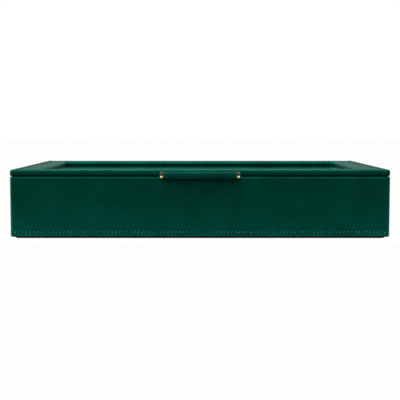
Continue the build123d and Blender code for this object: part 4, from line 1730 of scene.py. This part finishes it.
    def fit(self, index: int, piece: bpy.types.Object, full: np.ndarray) -> None:
        """Settle a stuffed cover into its place between its neighbours.

        A point's way from the empty to the full cover is capped. Pleats run in from the ends: a row of
        hollows round the roll's axis that fade along it. Last, the cover is pressed flat where it meets the
        end of its space.

        Args:
            index: the roll's number.
            piece: the cover.
            full: its vertices after the cloth was blown up.
        """
        low, high = span(f"ring_roll_{index}")
        empty = vertices(piece.data)
        way = full - empty
        length = np.linalg.norm(way, axis=1, keepdims=True)
        placed = empty + way * np.minimum(1.0, self.reach / np.maximum(length, 1e-9))
        across = (placed - (low + high) / 2) * np.array([0.0, 1.0, 1.0])
        round_axis = np.arctan2(across[:, 2], across[:, 1])
        end = np.minimum(placed[:, 0] - low[0], high[0] - placed[:, 0])
        phase = np.random.default_rng(self.pleat_seed + index).uniform(0.0, FULL_TURN)
        hollow = 0.5 + 0.5 * np.cos(self.pleats * round_axis + phase)
        hollow = hollow * np.exp(-np.maximum(end, 0.0) / self.pleat_length)
        reach = np.maximum(np.linalg.norm(across, axis=1, keepdims=True), 1e-9)
        placed = placed - across / reach * (self.pleat_depth * hollow)[:, None]
        placed = np.clip(placed, low + self.clear, high - self.clear)
        piece.data.vertices.foreach_set("co", placed.astype(np.float32).ravel())
        piece.data.update()
        smooth = piece.modifiers.new("smooth", "SUBSURF")
        smooth.levels = smooth.render_levels = 1

    def build(self) -> None:
        """Make, stuff and place the rolls."""
        slack = self.slack
        pieces = [self.cover(index, slack) for index in range(1, self.count + 1)]
        self.stuff(pieces)
        for index, piece in enumerate(pieces, start=1):
            settle(piece, Body.BASE, Slot.SUEDE, f"ring_roll_{index}")


@dataclass
class Joinery:
    """The CAD pieces that keep their own shape: boards, linings, hinges, glass and tape."""

    palette: Palette

    def dress(self) -> None:
        """Give every CAD node the material of its record slot, and the hinges satin brass."""
        for entry in frame["record"]["subparts"]:
            node = frame["nodes"][entry["node"]]
            is_hinge = entry["node"].startswith("hinge")
            name = "satin_brass" if is_hinge else SLOT_FINISHES[Slot(entry["material_slot"])]
            node.data.materials.clear()
            node.data.materials.append(self.palette[name])
        LOG.info("dressed %d CAD nodes", len(frame["nodes"]))


# Studio


@dataclass(frozen=True)
class Lamp:
    """A soft rectangular lamp that only lights: neither the camera nor a reflection shows it."""

    name: str
    place: Point
    aim: Point
    size: tuple[float, float]
    power: float

    def hang(self) -> None:
        """Hang the lamp, facing its aim."""
        data = bpy.data.lights.new(self.name, "AREA")
        data.shape, data.energy = "RECTANGLE", self.power
        data.size, data.size_y = self.size
        lamp = bpy.data.objects.new(self.name, data)
        lamp.location = self.place
        away = np.array(self.place) - np.array(self.aim)
        flat = math.hypot(away[0], away[1])
        lamp.rotation_euler = (math.atan2(flat, away[2]), 0.0, math.atan2(away[0], -away[1]))
        lamp.visible_camera = lamp.visible_glossy = lamp.visible_transmission = False
        bpy.context.scene.collection.objects.link(lamp)


@dataclass(frozen=True)
class Studio:
    """A pale floor, four soft lamps, a white room and the camera."""

    eye: Point = (0.0, -1.0045, 0.1065)
    tilt: float = 4.522
    lens: float = 85.64
    sensor: float = 36.0
    clip: tuple[float, float] = (0.01, 100.0)
    room: float = 0.1
    front_room: float = 0.02
    side_room: float = 0.14
    rear_room: float = 1.0
    front_span: tuple[float, float] = (-0.95, -0.1)
    rear_span: tuple[float, float] = (0.8, 0.97)
    shadow_share: float = 0.02
    floor_half: float = 6.0
    floor_level: float = -0.2 * MM
    floor_roughness: float = 0.9
    foot_x: float = 0.178
    foot_y: float = 0.1175
    # Painted pool of light: pale floor colour near the foot, dark beyond, and a glow in reflections round the box.
    near_ring: tuple[float, float] = (0.008, 0.055)
    near_tone: float = 0.95
    far_tone: float = 0.04
    pool_start: tuple[float, float] = (0.0, 0.02)
    pool_stop: tuple[float, float] = (0.13, 0.22)
    pool_foot: float = 0.3
    pool_rest: float = 0.03
    lamps: tuple[Lamp, ...] = (
        Lamp("key", (-0.15, -1.15, 0.72), (0.0, -0.1, 0.03), (1.0, 0.55), 7.5),
        Lamp("overhead", (-0.1, 0.05, 1.2), (0.0, 0.0, 0.03), (1.6, 1.2), 32.0),
        Lamp("left", (-0.9, -0.08, 0.35), (-0.178, -0.1, 0.04), (0.3, 0.3), 7.0),
        Lamp("right", (0.9, 0.1, 0.18), (0.178, 0.0, 0.035), (0.3, 0.2), 3.5),
    )

    def camera(self) -> None:
        """Place the camera at the photograph's viewing angle."""
        lens = bpy.data.cameras.new("camera")
        lens.lens, lens.sensor_width = self.lens, self.sensor
        lens.clip_start, lens.clip_end = self.clip
        camera = bpy.data.objects.new("camera", lens)
        camera.location = self.eye
        camera.rotation_euler = (math.radians(90.0 - self.tilt), 0.0, 0.0)
        bpy.context.scene.collection.objects.link(camera)
        bpy.context.scene.camera = camera

    @staticmethod
    def sight(sketch: Sketch) -> tuple[Socket, Socket]:
        """Tell what is seen straight from what is seen in a reflection.

        Args:
            sketch: the node tree to draw in.

        Returns:
            A mask of camera rays, also through the glass, and a mask of mirrored rays, also those that the
            glass mirrors inside its thickness.
        """
        path = sketch.node("ShaderNodeLightPath").outputs
        direct = sketch.math("LESS_THAN", path["Glossy Depth"], 0.5)
        through = sketch.math("MULTIPLY", path["Is Transmission Ray"], direct)
        inside = sketch.math("SUBTRACT", path["Is Transmission Ray"], through)
        straight = sketch.math("MAXIMUM", path["Is Camera Ray"], through)
        return straight, sketch.math("MAXIMUM", path["Is Glossy Ray"], inside)

    def floor(self) -> None:
        """Lay the floor: white to the camera, with a share of its real shading for the object's shadow.

        By its distance from the box's foot it is pale close to the box and dark further off, so that it
        throws little light up: a painted pool of light. In reflections it glows as a painted pool of light
        round the box.
        """
        canvas = Canvas("pale_floor")
        axes = canvas.node("ShaderNodeSeparateXYZ", {0: canvas.place}).outputs
        squares = []
        for axis, half in zip(axes, (self.foot_x, self.foot_y)):
            past = canvas.math("SUBTRACT", canvas.math("ABSOLUTE", axis), half)
            squares.append(canvas.math("POWER", canvas.math("MAXIMUM", past, 0.0), 2.0))
        away = canvas.math("SQRT", canvas.math("ADD", *squares))
        # Painted pool of light in the floor's colour: pale within the near ring, dark beyond.
        near = canvas.ramp(away, *self.near_ring, 1.0, 0.0)
        canvas.feed(canvas.shader, {
            "Base Color": canvas.blend(near, (self.far_tone,) * 3, (self.near_tone,) * 3),
            "Roughness": self.floor_roughness,
            "Specular IOR Level": 0.0,
        })
        straight, mirrored = self.sight(canvas)
        # Painted reflection: within the pool the floor glows in reflections.
        inner = canvas.ramp(away, *self.pool_start, self.pool_foot, 1.0)
        outer = canvas.ramp(away, *self.pool_stop, 1.0, self.pool_rest)
        pool = canvas.math("MULTIPLY", mirrored, canvas.math("MULTIPLY", inner, outer))
        glow = canvas.node("ShaderNodeEmission", {"Strength": canvas.math("MAXIMUM", straight, pool)})
        seen = canvas.math("MAXIMUM", straight, mirrored)
        canvas.mix_in(canvas.math("MULTIPLY", seen, 1.0 - self.shadow_share), glow)
        x, y = np.meshgrid((-self.floor_half, self.floor_half), (-self.floor_half, self.floor_half))
        points = np.stack((x, y, np.full_like(x, self.floor_level)), axis=-1)
        floor = new_piece("floor", points, [np.array([[0, 1, 3, 2]])], canvas.material)

    def world(self) -> None:
        """Make the room: white to the camera, dim in front of the box and beside it and bright behind it."""
        world = bpy.data.worlds.new("room")
        bpy.context.scene.world = world
        world.use_nodes = True
        world.node_tree.nodes.clear()
        sketch = Sketch(world.node_tree)
        place = sketch.node("ShaderNodeTexCoord").outputs["Generated"]
        ahead = sketch.node("ShaderNodeSeparateXYZ", {0: place}).outputs["Y"]
        front = sketch.ramp(ahead, *self.front_span, self.front_room, self.side_room)
        rear = sketch.ramp(ahead, *self.rear_span, 0.0, self.rear_room - self.side_room)
        depth = sketch.math("ADD", front, rear)
        straight, mirrored = self.sight(sketch)
        plain = sketch.math("MULTIPLY", depth, self.room)
        level = sketch.node("ShaderNodeMix", {0: mirrored, 2: plain, 3: depth}).outputs[0]
        sockets = {"Color": WHITE, "Strength": sketch.math("MAXIMUM", level, straight)}
        light = sketch.node("ShaderNodeBackground", sockets)
        sketch.node("ShaderNodeOutputWorld", {"Surface": light.outputs[0]})

    def build(self) -> None:
        """Set up the studio."""
        bpy.context.scene.view_settings.view_transform = "Standard"
        self.camera()
        self.floor()
        self.world()
        for lamp in self.lamps:
            lamp.hang()


def main() -> None:
    """Build the box's classes in order."""
    logging.basicConfig(level=logging.INFO, format="%(name)s: %(message)s")
    Studio().build()
    palette = Palette(Groups())
    Joinery(palette).dress()
    Tray(palette).build()
    Lid(palette).build()
    Pull(palette).build()
    RingRolls(palette).build()


if __name__ == "__main__":
    main()
